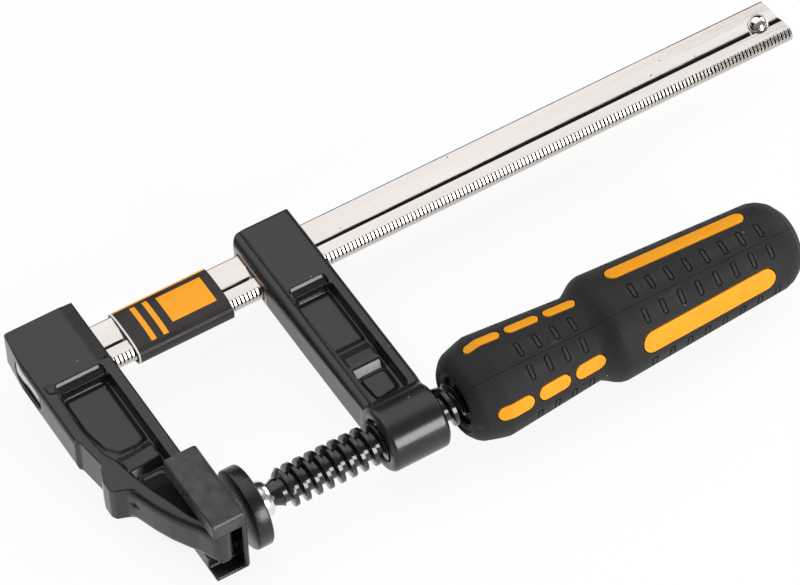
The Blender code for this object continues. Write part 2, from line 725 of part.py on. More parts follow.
def inlay_tool(name, margin, cutters):
    """Prisms that point out from the axis, one for each inlay, in lines along the handle."""
    low = INLAY_ROOT_SHARE * HANDLE_RADIUS
    high = HANDLE_RADIUS + OVERRUN
    outlines = []
    for ends, width in ((STRIPE_ENDS_SHARES, STRIPE_WIDTH), (DASH_ENDS_SHARES, DASH_WIDTH)):
        for a, b in ends:
            start = HANDLE_X + a * HANDLE_LENGTH - margin
            end = HANDLE_X + b * HANDLE_LENGTH + margin
            outlines.append(stadium(start, end, width + 2 * margin))
    mesh = flat_mesh(name, outlines, high - low)
    mesh.transform(Matrix.Translation((0, 0, (low + high) / 2)))
    shape = bmesh.new()
    for i in range(STRIPE_LINES):
        turn = Matrix.Rotation(2 * pi * (STRIPE_TURN_SHARE + i / STRIPE_LINES), 4, "X")
        copy = mesh.copy()
        copy.transform(turn)
        shape.from_mesh(copy)
        bpy.data.meshes.remove(copy)
    shape.to_mesh(mesh)
    shape.free()
    return add_object(name, mesh, cutters)


def finish(obj, look, carrier):
    """Gives a piece its material and hangs it on the empty that carries its body."""
    colour, roughness, metallic = look
    obj.data.materials.clear()
    obj.data.materials.append(material_named(obj.name, colour, roughness, metallic))
    hang(obj, carrier)


def hang(obj, carrier):
    bpy.context.view_layer.update()
    obj.parent = carrier
    obj.matrix_parent_inverse = carrier.matrix_world.inverted()


def carrier_named(name, location, parent, parts):
    made = add_object(name, None, parts)
    made.location = location
    if parent:
        hang(made, parent)
    return made


def main():
    for obj in list(bpy.data.objects):
        bpy.data.objects.remove(obj)
    parts = collection_named("F-clamp")
    cutters = collection_named("Cutters", hidden=True)
    rail = carrier_named("rail", (0, 0, 0), None, parts)
    arm_slide = carrier_named("arm_slide", (BOSS_X, 0, 0), rail, parts)
    pad_feed = carrier_named("pad_feed", (REST_GAP, 0, 0), arm_slide, parts)
    spindle_turn = carrier_named("spindle_turn", (BALL_X, 0, 0), pad_feed, parts)
    finish(rail_bar(parts, cutters), BRIGHT_STEEL, rail)
    finish(stop_ball(parts), POLISHED_STEEL, rail)
    finish(fixed_jaw(parts, cutters), BLACK_PAINT, rail)
    finish(fixed_jaw_cap(parts, cutters), BLACK_PLASTIC, rail)
    finish(label_sleeve(parts), LABEL_FILM, rail)
    finish(sliding_arm(parts, cutters), BLACK_PAINT, arm_slide)
    finish(swivel_pad(parts), BRIGHT_STEEL, pad_feed)
    finish(pad_cap(parts), BLACK_PLASTIC, pad_feed)
    finish(spindle(parts, cutters), BLACK_STEEL, spindle_turn)
    finish(handle_core(parts, cutters), ORANGE_PLASTIC, spindle_turn)
    finish(handle_grip(parts, cutters), BLACK_RUBBER, spindle_turn)


main()
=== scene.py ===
"""The look of the F-clamp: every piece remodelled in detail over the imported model, with its finish, the
floor, the studio light and the camera.

Lengths are in metres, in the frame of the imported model. X runs along the bar away from the fixed jaw, Z
is up, and the origin is on the spindle's axis, at the fixed jaw's clamping face.
"""

from contextlib import contextmanager
from math import asin, cos, degrees, hypot, pi, radians, sin, tan

import bmesh
import bpy
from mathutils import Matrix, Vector

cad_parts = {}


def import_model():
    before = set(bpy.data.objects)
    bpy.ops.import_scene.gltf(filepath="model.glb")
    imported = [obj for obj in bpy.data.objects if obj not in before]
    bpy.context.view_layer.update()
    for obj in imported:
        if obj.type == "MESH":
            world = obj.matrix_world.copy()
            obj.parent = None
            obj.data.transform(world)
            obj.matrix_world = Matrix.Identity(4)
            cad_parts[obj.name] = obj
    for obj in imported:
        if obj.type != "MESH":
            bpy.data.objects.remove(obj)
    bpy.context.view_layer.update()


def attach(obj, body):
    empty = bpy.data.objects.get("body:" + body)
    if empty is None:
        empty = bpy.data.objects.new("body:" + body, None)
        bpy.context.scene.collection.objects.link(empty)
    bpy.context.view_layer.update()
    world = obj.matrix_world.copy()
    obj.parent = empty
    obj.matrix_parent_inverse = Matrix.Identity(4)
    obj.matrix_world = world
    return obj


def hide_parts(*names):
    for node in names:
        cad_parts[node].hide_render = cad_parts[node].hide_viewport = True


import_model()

# Tools' settings
WELD_DISTANCE = 0.000002
OVERRUN = 0.0010
ROUND_STEPS = 128
FINE_STEPS = 96
ARC_STEPS = 6
CAST_VOXEL = 0.00026
CAST_SMOOTHING = 6
FILLET_FACTOR = 0.5
SMOOTH_ANGLE = radians(32)
WIDE_BEVEL_STEPS = 6
# Half the angle from which a corner counts as straight, and how often an arc's reach fits in a side
STRAIGHT_CORNER = radians(88)
CORNER_LIMIT = 2.1
# Further off than any part of the clamp
FAR = 1

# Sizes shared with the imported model
BAR_START_X = -0.0205
BAR_END_X = 0.1840
TOOTH_PITCH = 0.0010
BAR_LOW_Y = 0.0500
BAR_HIGH_Y = 0.0622
BAR_CENTRE_Y = (BAR_LOW_Y + BAR_HIGH_Y) / 2
BAR_HALF_WIDTH = (BAR_HIGH_Y - BAR_LOW_Y) / 2
BAR_HALF_THICKNESS = 0.0021
CASTING_HALF = 0.0053
CLEARANCE = 0.0003


# Modelling helpers

def only(obj):
    """Selects this object and nothing else."""
    bpy.ops.object.select_all(action="DESELECT")
    obj.select_set(True)
    bpy.context.view_layer.objects.active = obj


def named(name):
    made = bpy.context.object
    made.name = name
    made.data.name = name
    return made


@contextmanager
def editing(obj):
    only(obj)
    bpy.ops.object.mode_set(mode="EDIT")
    bpy.ops.mesh.select_mode(type="VERT")
    yield
    bpy.ops.object.mode_set(mode="OBJECT")


def pick(obj, kind, test):
    """Selects the faces, edges or verts that pass the test, in edit mode."""
    bpy.ops.mesh.select_mode(type={"verts": "VERT", "edges": "EDGE", "faces": "FACE"}[kind])
    bpy.ops.mesh.select_all(action="DESELECT")
    shape = bmesh.from_edit_mesh(obj.data)
    for element in getattr(shape, kind):
        if test(element):
            element.select_set(True)
    shape.select_flush_mode()
    bmesh.update_edit_mesh(obj.data)


def modify(obj, kind, **settings):
    """Applies one modifier with these settings."""
    modifier = obj.modifiers.new(kind.title(), kind)
    for key, value in settings.items():
        setattr(modifier, key, value)
    only(obj)
    bpy.ops.object.modifier_apply(modifier=modifier.name)


def tidy_normals(obj):
    with editing(obj):
        bpy.ops.mesh.select_all(action="SELECT")
        bpy.ops.mesh.remove_doubles(threshold=WELD_DISTANCE)
        bpy.ops.mesh.delete_loose(use_verts=True, use_edges=True, use_faces=False)
        bpy.ops.mesh.select_all(action="SELECT")
        bpy.ops.mesh.normals_make_consistent(inside=False)


def near(first, second):
    return abs(first - second) < WELD_DISTANCE


def ring(name, places, fill="NOTHING"):
    """A closed line, or a face, through these places: a circle pulled to them."""
    bpy.ops.mesh.primitive_circle_add(vertices=len(places), fill_type=fill)
    made = named(name)
    for vertex, place in zip(made.data.vertices, places):
        vertex.co = place
    return made


def slice_all(place, square, **choices):
    """Cuts the whole mesh along a plane, in edit mode."""
    bpy.ops.mesh.select_all(action="SELECT")
    bpy.ops.mesh.bisect(plane_co=place, plane_no=square, **choices)


def crop(place, square, **side):
    slice_all(place, square, use_fill=True, threshold=WELD_DISTANCE, **side)


def lying(lie, a, b, height):
    """A flat outline's point, put down in the XY, XZ or YZ plane at a height along its normal."""
    return {"XY": (a, b, height), "XZ": (a, height, b), "YZ": (height, a, b)}[lie]


def plate(name, outline, low, high, lie="XY"):
    """A solid of this outline from low to high."""
    made = ring(name, [lying(lie, a, b, low) for a, b in outline], "NGON")
    with editing(made):
        bpy.ops.mesh.select_all(action="SELECT")
        rise = lying(lie, 0, 0, high - low)
        bpy.ops.mesh.extrude_region_move(TRANSFORM_OT_translate={"value": rise})
    tidy_normals(made)
    return made


def turned(name, profile, steps=ROUND_STEPS):
    """A solid spun about X from a closed profile of (x, radius) points."""
    made = ring(name, [(x, 0, radius) for x, radius in profile])
    with editing(made):
        bpy.ops.mesh.select_all(action="SELECT")
        bpy.ops.mesh.spin(steps=steps, angle=2 * pi, center=(0, 0, 0), axis=(1, 0, 0))
    tidy_normals(made)
    return made


def bevel_edges(obj, test, width, segments=3, clamp=True):
    with editing(obj):
        pick(obj, "edges", test)
        bpy.ops.mesh.bevel(offset=width, segments=segments, affect="EDGES", clamp_overlap=clamp)


def taper(obj, height, inset, depth):
    """Draws a flat face at this height on by depth, its edge inset, so that the new walls slope."""
    with editing(obj):
        pick(obj, "faces", lambda face: near(face.calc_center_median().z, height))
        bpy.ops.mesh.inset(thickness=inset, depth=depth)


def mirrored(obj):
    """Adds the same shape on the other side of the clamp's flat middle plane."""
    modify(obj, "MIRROR", use_axis=(False, False, True), use_mirror_merge=False)
    return obj


def boolean(target, tool, operation):
    modify(target, "BOOLEAN", operation=operation, solver="EXACT", object=tool)
    bpy.data.objects.remove(tool)


def cut(target, tool):
    boolean(target, tool, "DIFFERENCE")


def add(target, tool):
    boolean(target, tool, "UNION")


def merged(name, pieces):
    bpy.ops.object.select_all(action="DESELECT")
    for piece in pieces:
        piece.select_set(True)
    bpy.context.view_layer.objects.active = pieces[0]
    bpy.ops.object.join()
    return named(name)


def soft_edges(obj, width, segments):
    modify(obj, "BEVEL", width=width, segments=segments, limit_method="ANGLE", angle_limit=SMOOTH_ANGLE)


def cast_skin(obj):
    """Melts all the edges and corners together, as on a casting."""
    modify(obj, "REMESH", mode="VOXEL", voxel_size=CAST_VOXEL)
    modify(obj, "SMOOTH", factor=FILLET_FACTOR, iterations=CAST_SMOOTHING)
    bpy.ops.object.shade_smooth()


def smooth_shading(obj, angle=SMOOTH_ANGLE):
    only(obj)
    bpy.ops.object.shade_smooth_by_angle(angle=angle)


# Outline helpers

def arc(centre, radius, first, last, steps=ARC_STEPS):
    """Points from one angle to another, in degrees, both ends included."""
    turns = [radians(first + (last - first) * i / steps) for i in range(steps + 1)]
    return [(centre[0] + radius * cos(t), centre[1] + radius * sin(t)) for t in turns]


def box_points(x0, x1, y0, y1):
    return [(x0, y0), (x1, y0), (x1, y1), (x0, y1)]


def spun(a, b, turn):
    """A flat point, turned about the middle."""
    return a * cos(turn) - b * sin(turn), a * sin(turn) + b * cos(turn)


def rounded(points, radius, steps=ARC_STEPS):
    """The closed outline with its corners turned into arcs, each held to its part of the shorter side."""
    made = []
    count = len(points)
    for i, corner in enumerate(points):
        here = Vector(corner)
        back = Vector(points[i - 1]) - here
        on = Vector(points[(i + 1) % count]) - here
        half = back.angle(on) / 2
        if half > STRAIGHT_CORNER:
            made.append(corner)
            continue
        reach = min(radius / tan(half), back.length / CORNER_LIMIT, on.length / CORNER_LIMIT)
        start = here + back.normalized() * reach
        end = here + on.normalized() * reach
        middle = here + (back.normalized() + on.normalized()).normalized() * reach / cos(half)
        spoke = start - middle
        sweep = spoke.angle_signed(end - middle)
        for k in range(steps + 1):
            made.append(tuple(middle + Vector(spun(*spoke, -sweep * k / steps))))
    return made


# Camera, light and floor

FLOOR_Z = -0.01335
FLOOR_SIZE = 6
FLOOR_GLOW_SHARE = 0.90
FLOOR_COLOUR = (0.95, 0.95, 0.95)
FLOOR_ROUGHNESS = 0.9
CAMERA_PLACE = (-0.307954, -0.638956, 0.970547)
CAMERA_TURN = (radians(38.5054), radians(1.5369), radians(-31.3119))
CAMERA_LENS = 242.16
CAMERA_SHIFT = (-0.02872, -0.01786)
AIM = (0.080, 0.030, 0.0)
CEILING_LIGHT = (1.54, 1.54, 1.56)
ROOM_LIGHT = (0.24, 0.24, 0.245)
CARD_LIGHT = (0.015, 0.015, 0.017)
# Soft edges in the studio: the weights of a direction, and the sums at which the share starts and is full
CEILING_FRONT = ((0, 1, 0), -0.38, 0.10)
CEILING_FOOT = ((0, 0, 1), 0.05, 0.30)
CEILING_LEFT = ((1, 0, 0), -0.82, -0.55)
CEILING_TOP = ((0, 0, 1), 0.80, 0.92)
CARD_TOP = ((-1, 0, 1), 0.29, 0.365)
CARD_FRONT = ((0, 1, 0), -0.10, 0.15)
# Each lamp's name, its direction and distance from the clamp, width, height and radiance
SOFTBOXES = (
    ("front_softbox", (0.25, -0.93, 0.29), 0.9, 0.36, 0.42, 12.0),
    ("right_softbox", (0.85, 0.15, 0.50), 0.9, 0.60, 0.50, 3.4),
)


def softbox(name, direction, distance, width, height, radiance):
    """A rectangular lamp that faces the clamp, as bright as its radiance says."""
    way = Vector(direction).normalized()
    bpy.ops.object.light_add(type="AREA", location=Vector(AIM) + way * distance)
    lamp = named(name)
    lamp.rotation_euler = way.to_track_quat("Z", "Y").to_euler()
    lamp.data.shape = "RECTANGLE"
    lamp.data.size = width
    lamp.data.size_y = height
    lamp.data.energy = radiance * pi * width * height


def camera():
    bpy.ops.object.camera_add(location=CAMERA_PLACE, rotation=CAMERA_TURN)
    made = named("camera")
    made.data.lens = CAMERA_LENS
    made.data.shift_x, made.data.shift_y = CAMERA_SHIFT
    bpy.context.scene.camera = made


def background_share(nodes, links):
    """One for the rays that see the background itself: from the camera, in a mirror or through glass."""
    path = nodes.new("ShaderNodeLightPath")
    glossy = nodes.new("ShaderNodeMath")
    glossy.operation = "MAXIMUM"
    links.new(path.outputs["Is Camera Ray"], glossy.inputs[0])
    links.new(path.outputs["Is Glossy Ray"], glossy.inputs[1])
    every = nodes.new("ShaderNodeMath")
    every.operation = "MAXIMUM"
    links.new(glossy.outputs[0], every.inputs[0])
    links.new(path.outputs["Is Transmission Ray"], every.inputs[1])
    return every.outputs[0]


def floor_material():
    """White paper: it glows for the rays that see the background, and still takes the clamp's shadow."""
    made = bpy.data.materials.new("white_floor")
    made.use_nodes = True
    nodes, links = made.node_tree.nodes, made.node_tree.links
    paper = nodes["Principled BSDF"]
    paper.inputs["Base Color"].default_value = (*FLOOR_COLOUR, 1)
    paper.inputs["Roughness"].default_value = FLOOR_ROUGHNESS
    glow = nodes.new("ShaderNodeEmission")
    share = nodes.new("ShaderNodeMath")
    share.operation = "MULTIPLY"
    share.inputs[1].default_value = FLOOR_GLOW_SHARE
    links.new(background_share(nodes, links), share.inputs[0])
    mix = nodes.new("ShaderNodeMixShader")
    links.new(share.outputs[0], mix.inputs["Fac"])
    links.new(paper.outputs[0], mix.inputs[1])
    links.new(glow.outputs[0], mix.inputs[2])
    links.new(mix.outputs[0], nodes["Material Output"].inputs["Surface"])
    return made


def floor():
    bpy.ops.mesh.primitive_plane_add(size=FLOOR_SIZE, location=(0, 0, FLOOR_Z))
    made = named("floor")
    made.data.materials.append(floor_material())


def soft_edge(tree, direction, weights, start, full):
    """A share that rises smoothly where the weighted sum of a direction passes from start to full."""
    values = {0: vector_maths(tree, "DOT_PRODUCT", direction, weights, "Value"), 1: start, 2: full}
    return node(tree, "ShaderNodeMapRange", {"interpolation_type": "SMOOTHSTEP"}, values).outputs[0]


def world():
    """A dim room with a wide bright ceiling behind the clamp and a dark card at the back on the right."""
    made = bpy.data.worlds.new("studio")
    bpy.context.scene.world = made
    made.use_nodes = True
    tree = made.node_tree
    direction = node(tree, "ShaderNodeTexCoord").outputs["Generated"]
    edges = (CEILING_FRONT, CEILING_FOOT, CEILING_LEFT, CEILING_TOP, CARD_TOP, CARD_FRONT)
    front, foot, left, top, card_top, card_front = (soft_edge(tree, direction, *edge) for edge in edges)
    low_part = maths(tree, "MULTIPLY", maths(tree, "MULTIPLY", card_top, foot), left)
    above_card = maths(tree, "MAXIMUM", low_part, top)
    room = blended(tree, card_front, ROOM_LIGHT, CARD_LIGHT)
    light = blended(tree, maths(tree, "MULTIPLY", above_card, front), room, CEILING_LIGHT)
    tree.links.new(light, tree.nodes["Background"].inputs["Color"])


def studio():
    bpy.context.scene.view_settings.view_transform = "Standard"
    camera()
    floor()
    world()
    for box in SOFTBOXES:
        softbox(*box)


# Finishes

REGION_SOFTNESS = 0.00012
BUMP_DISTANCE = 0.0004
PATCH_RANGE = (0.35, 0.65)


def node_group(name, inputs, outputs=("Mask",)):
    """An empty shader group with these inputs and their values, its inner inputs and its inner outputs."""
    group = bpy.data.node_groups.new(name, "ShaderNodeTree")
    for label, value in inputs.items():
        kind = "NodeSocketVector" if isinstance(value, tuple) else "NodeSocketFloat"
        group.interface.new_socket(label, in_out="INPUT", socket_type=kind).default_value = value
    for label in outputs:
        group.interface.new_socket(label, in_out="OUTPUT", socket_type="NodeSocketFloat")
    return group, group.nodes.new("NodeGroupInput").outputs, group.nodes.new("NodeGroupOutput").inputs


def node(tree, kind, settings=None, inputs=None):
    """A node with its settings, and each input either set to a value or linked from a socket."""
    made = tree.nodes.new(kind)
    for key, value in (settings or {}).items():
        setattr(made, key, value)
    for key, value in (inputs or {}).items():
        if isinstance(value, bpy.types.NodeSocket):
            tree.links.new(value, made.inputs[key])
        else:
            made.inputs[key].default_value = value
    return made


def maths(tree, operation, first, second=0, clamp=False):
    settings = {"operation": operation, "use_clamp": clamp}
    return node(tree, "ShaderNodeMath", settings, {0: first, 1: second}).outputs[0]


def vector_maths(tree, operation, first, second, output="Vector"):
    made = node(tree, "ShaderNodeVectorMath", {"operation": operation}, {0: first, 1: second})
    return made.outputs[output]


def blended(tree, mask, first, second):
    """A colour, or a number, that goes from the first to the second with the mask."""
    kind = "FLOAT" if isinstance(second, float) else "RGBA"
    made = node(tree, "ShaderNodeMix", {"data_type": kind})
    slots = [s for s in made.inputs if s.name in ("A", "B") and s.type == {"FLOAT": "VALUE"}.get(kind, kind)]
    for socket, value in zip(slots, (first, second)):
        if isinstance(value, bpy.types.NodeSocket):
            tree.links.new(value, socket)
        else:
            socket.default_value = value if kind == "FLOAT" else (*value, 1)
    tree.links.new(mask, made.inputs["Factor"])
    return [s for s in made.outputs if s.type == slots[0].type][0]


def object_point(tree):
    return node(tree, "ShaderNodeTexCoord").outputs["Object"]


def grain_group():
    """Fine grain, drawn out along the bar by Stretch, and broad soft patches."""
    inputs = {"Scale": 1000, "Stretch": 1, "Patches": 60}
    group, given, result = node_group("grain", inputs, ("Grain", "Patch"))
    stretch = node(group, "ShaderNodeCombineXYZ", inputs={0: given["Stretch"], 1: 1, 2: 1}).outputs[0]
    point = vector_maths(group, "MULTIPLY", object_point(group), stretch)
    for label, scale, detail in (("Grain", "Scale", 3), ("Patch", "Patches", 4)):
        values = {"Vector": point, "Scale": given[scale], "Detail": detail}
        noise = node(group, "ShaderNodeTexNoise", inputs=values)
        group.links.new(noise.outputs["Fac"], result[label])
    return group


def specks_group():
    """Small scattered specks: Share says how many of the cells hold one."""
    group, given, result = node_group("specks", {"Scale": 400, "Size": 0.2, "Share": 0.1})
    values = {"Vector": object_point(group), "Scale": given["Scale"]}
    cells = node(group, "ShaderNodeTexVoronoi", inputs=values)
    chance = node(group, "ShaderNodeSeparateColor", inputs={0: cells.outputs["Color"]}).outputs[0]
    close = maths(group, "LESS_THAN", cells.outputs["Distance"], given["Size"])
    chosen = maths(group, "LESS_THAN", chance, given["Share"])
    group.links.new(maths(group, "MULTIPLY", close, chosen), result["Mask"])
    return group


def edge_wear_group():
    """One along the rubbed edges, broken up by noise."""
    inputs = {"Start": 0.52, "Width": 0.06, "Amount": 1, "Scale": 400}
    group, given, result = node_group("edge_wear", inputs)
    sharpness = node(group, "ShaderNodeNewGeometry").outputs["Pointiness"]
    above = maths(group, "SUBTRACT", sharpness, given["Start"])
    edge = maths(group, "DIVIDE", above, given["Width"], True)
    values = {"Vector": object_point(group), "Scale": given["Scale"], "Detail": 4}
    noise = node(group, "ShaderNodeTexNoise", inputs=values)
    broken = maths(group, "MULTIPLY", edge, noise.outputs["Fac"])
    group.links.new(maths(group, "MULTIPLY", broken, given["Amount"]), result["Mask"])
    return group


def block_group():
    """One inside a box between Low and High, with an edge as soft as Softness."""
    inputs = {"Low": (0, 0, 0), "High": (0, 0, 0), "Softness": 0.0001}
    group, given, result = node_group("block", inputs)
    point = object_point(group)
    below = vector_maths(group, "SUBTRACT", given["Low"], point)
    above = vector_maths(group, "SUBTRACT", point, given["High"])
    out = vector_maths(group, "MAXIMUM", below, above)
    x, y, z = node(group, "ShaderNodeSeparateXYZ", inputs={0: out}).outputs
    most = maths(group, "MAXIMUM", maths(group, "MAXIMUM", x, y), z)
    share = maths(group, "DIVIDE", most, given["Softness"])
    group.links.new(maths(group, "SUBTRACT", 0.5, share, True), result["Mask"])
    return group


def rows_group():
    """One in narrow slots that repeat along X."""
    inputs = {"Start": 0, "Pitch": 0.001, "Width": 0.0003, "Softness": 0.0001}
    group, given, result = node_group("rows", inputs)
    along = node(group, "ShaderNodeSeparateXYZ", inputs={0: object_point(group)}).outputs[0]
    pitches = maths(group, "DIVIDE", maths(group, "SUBTRACT", along, given["Start"]), given["Pitch"])
    aside = maths(group, "ABSOLUTE", maths(group, "SUBTRACT", maths(group, "FRACT", pitches), 0.5))
    half = maths(group, "MULTIPLY", given["Width"], 0.5)
    room = maths(group, "SUBTRACT", half, maths(group, "MULTIPLY", aside, given["Pitch"]))
    share = maths(group, "DIVIDE", room, given["Softness"])
    group.links.new(maths(group, "ADD", 0.5, share, True), result["Mask"])
    return group


GROUPS = {
    "grain": grain_group(), "specks": specks_group(), "edge_wear": edge_wear_group(),
    "block": block_group(), "rows": rows_group(),
}


def effect(tree, group, **values):
    """A group node of this effect, with its own values."""
    made = node(tree, "ShaderNodeGroup", {"node_tree": GROUPS[group]})
    for key, value in values.items():
        made.inputs[key].default_value = value
    return made.outputs


def block_mask(tree, low, high):
    return effect(tree, "block", Low=low, High=high, Softness=REGION_SOFTNESS)["Mask"]


def finish(name, colours, roughness, metallic=0.0, grain=(1500, 1, 60), bump=0.05, level=0.5,
           regions=(), rows=None, specks=None, wear=None):
    """A finish: two mottled colours and roughnesses with grain, and layers over them, each with its mask.

    Regions, rows, specks and wear say where a layer lies, and end with its colour, its roughness and
    whether it is metal, as far as these differ.
    """
    made = bpy.data.materials.new(name)
    made.use_nodes = True
    tree = made.node_tree
    scale, stretch, patches = grain
    texture = effect(tree, "grain", Scale=scale, Stretch=stretch, Patches=patches)
    limits = {0: texture["Patch"], 1: PATCH_RANGE[0], 2: PATCH_RANGE[1]}
    patch = node(tree, "ShaderNodeMapRange", inputs=limits).outputs[0]
    colour = blended(tree, patch, *colours)
    rough = blended(tree, patch, *roughness)
    metal = metallic
    layers = [(block_mask(tree, low, high), *look) for low, high, *look in regions]
    if rows:
        start, pitch, width, low, high, *look = rows
        slots = effect(tree, "rows", Start=start, Pitch=pitch, Width=width)["Mask"]
        layers.append((maths(tree, "MULTIPLY", slots, block_mask(tree, low, high)), *look))
    if specks:
        scale, size, share, *look = specks
        layers.append((effect(tree, "specks", Scale=scale, Size=size, Share=share)["Mask"], *look))
    if wear:
        start, width, amount, *look = wear
        layers.append((effect(tree, "edge_wear", Start=start, Width=width, Amount=amount)["Mask"], *look))
    for mask, layer_colour, *others in layers:
        colour = blended(tree, mask, colour, layer_colour)
        if others:
            rough = blended(tree, mask, rough, others[0])
        if len(others) > 1:
            metal = blended(tree, mask, metal, others[1])
    height = {"Strength": bump, "Distance": BUMP_DISTANCE, "Height": texture["Grain"]}
    relief = node(tree, "ShaderNodeBump", inputs=height).outputs[0]
    shader = tree.nodes["Principled BSDF"].inputs
    for key, value in (("Base Color", colour), ("Roughness", rough), ("Normal", relief)):
        tree.links.new(value, shader[key])
    if isinstance(metal, float):
        shader["Metallic"].default_value = metal
    else:
        tree.links.new(metal, shader["Metallic"])
    shader["Specular IOR Level"].default_value = level
    return made


def grey(brightness):
    return (brightness, brightness, brightness)


def cast_paint(name, regions=()):
    return finish(name, ((0.012, 0.012, 0.013), (0.018, 0.018, 0.019)), (0.20, 0.28), grain=(900, 1, 90),
                  bump=0.04, level=0.45, specks=(420, 0.10, 0.04, grey(0.16)), regions=regions)


def printed(x_range, y_range):
    """An orange block on the label's upper side, for a finish's regions."""
    low, high = zip(x_range, y_range, (0.0, LABEL_TOP))
    return low, high, ORANGE_INK, INK_ROUGHNESS


CHARCOAL = (0.026, 0.022, 0.022)
ORANGE_INK = (1.00, 0.385, 0.010)
INK_ROUGHNESS = 0.36
PAPER = (0.85, 0.83, 0.78)
BARE_STEEL = (0.33, 0.28, 0.24)
PAINTED_NOTCH_SHADE = (0.008, 0.007, 0.006)

# Painted shade in the roots of the bar's teeth: how wide one dark slot is, and the corners of the box that
# holds them
TOOTH_SHADE_WIDTH = 0.00048
TOOTH_SHADE_BOX = ((-0.03, 0.0490, 0.0003), (0.20, 0.0510, 0.0030))
# The bare mouth of the arm's slot
SLOT_MOUTH = ((0.0370, 0.0487, -0.0036), (0.0388, 0.0635, 0.0036))
# The label's printed blocks, along the bar and across it, its orange narrow side and its paper end
LABEL_TOP = 0.0060
LABEL_BLOCK = ((0.0152, 0.0268), (0.0524, 0.0606))
LABEL_BARS = ((0.0118, 0.0131), (0.0086, 0.0099))
LABEL_BARS_Y = (0.0505, 0.0612)
LABEL_SIDE = ((0.0040, 0.0622, -0.0060), (0.0300, 0.0700, 0.0060))
LABEL_END = ((0.0000, 0.0400, -0.0100), (0.0046, 0.0700, 0.0100))

# The rows paint shade into the roots of the bar's teeth: a near-black, rougher colour in narrow slots
ZINC = finish("zinc_plated_bar", ((0.590, 0.550, 0.515), (0.545, 0.508, 0.475)), (0.07, 0.11), 1.0,
              grain=(2600, 0.06, 220), bump=0.06, specks=(500, 0.12, 0.05, (0.18, 0.15, 0.13)),
              rows=(BAR_START_X, TOOTH_PITCH, TOOTH_SHADE_WIDTH, *TOOTH_SHADE_BOX, PAINTED_NOTCH_SHADE, 0.6))
POLISHED = finish("polished_ball", ((0.78, 0.77, 0.75), (0.70, 0.69, 0.68)), (0.06, 0.12), 1.0, bump=0.02)
CRIMPED_ZINC = finish("crimped_zinc", ((0.85, 0.85, 0.86), (0.74, 0.74, 0.75)), (0.16, 0.30), 1.0)
JAW_PAINT = cast_paint("jaw_paint")
ARM_PAINT = cast_paint("arm_paint", [(*SLOT_MOUTH, BARE_STEEL, 0.30, 1.0)])
MOULDED_BLACK = finish("moulded_black", ((0.0085, 0.0085, 0.0092), (0.0105, 0.0105, 0.0112)), (0.22, 0.30),
                       grain=(2600, 1, 120), bump=0.20, level=0.32, specks=(500, 0.10, 0.05, grey(0.20)),
                       wear=(0.52, 0.06, 0.4, grey(0.20), 0.40))
PAD_BLACK = finish("pad_black", ((0.006, 0.006, 0.007), (0.009, 0.009, 0.010)), (0.20, 0.28),
                   grain=(1800, 1, 100), bump=0.12, level=0.42, specks=(500, 0.10, 0.04, grey(0.20)),
                   wear=(0.52, 0.06, 0.4, grey(0.12), 0.30))
BLACK_STEEL = finish("black_steel", (grey(0.006), (0.010, 0.009, 0.008)), (0.09, 0.15),
                     grain=(1800, 0.3, 200), bump=0.08, level=0.6,
                     wear=(0.53, 0.08, 0.35, (0.22, 0.21, 0.20), 0.22))
ORANGE = finish("orange_core", ((0.88, 0.340, 0.008), (0.92, 0.372, 0.012)), (0.44, 0.56),
                grain=(1800, 1, 120), bump=0.10, level=0.2)
GRIP_RUBBER = finish("grip_rubber", (grey(0.013), (0.018, 0.0175, 0.0175)), (0.56, 0.68),
                     grain=(2600, 1, 150), bump=0.25, level=0.25,
                     specks=(420, 0.09, 0.045, (0.30, 0.29, 0.27)),
                     wear=(0.52, 0.06, 0.3, grey(0.11), 0.50))
SLEEVE_FILM = finish("label_film", (CHARCOAL, (0.034, 0.030, 0.029)), (0.34, 0.46),
                     grain=(1200, 1, 120), bump=0.08, level=0.25,
                     regions=[printed(*LABEL_BLOCK), *(printed(bar_x, LABEL_BARS_Y) for bar_x in LABEL_BARS),
                              (*LABEL_SIDE, ORANGE_INK, INK_ROUGHNESS), (*LABEL_END, PAPER, 0.60)])


def dressed(obj, material, body, slot, *nodes):
    """Gives a piece its finish, and says what it rides on and which CAD nodes it stands for."""
    obj.data.materials.clear()
    obj.data.materials.append(material)
    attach(obj, body)
    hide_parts(*nodes)


# Bar

GROOVE_HALF_WIDTH = 0.0020
GROOVE_DEPTH = 0.00037
GROOVE_STEPS = 8
GROOVE_SHIFT = 0.00020
# The low edge, in from the bar's narrow face and down from its wide one
BAR_LOW_EDGE = ((0.001, 0), (0.00092, 0.00004), (0.00006, 0.00104), (0, 0.0015))
BAR_HIGH_ROUND = 0.00055
BAR_PITCHES = 205
TOOTH_DEPTH = 0.00048
TOOTH_FLAT_SHARE = 0.25
HIGH_TOOTH_DEPTH = 0.00012
TOOTH_REACH = 0.00095
HIGH_TOOTH_REACH = 0.00022
FLAT_EDGE = 0.00008
DIMPLE_Y = 0.05116
DIMPLE_HALF = 0.00016
DIMPLE_DEPTH = 0.00022
# Along one tooth, and how deep the notch is there
TOOTH_LINE = ((0.28, 0.0), (0.50, 1.0), (0.72, 0.0), (1.00, 0.0))
BALL_RADIUS = 0.00245
BALL_X = 0.1780
BALL_HOLE_RADIUS = 0.00258
BALL_STEPS = 20
# The ball's foot, down into its seat and out from its axis, in shares of the ball's radius
BALL_FOOT = ((0.375, 0.9), (0.75, 0.6), (0.75, 0))
BAR_END_SLANT = 0.0013
BAR_SMOOTH_ANGLE = radians(17)


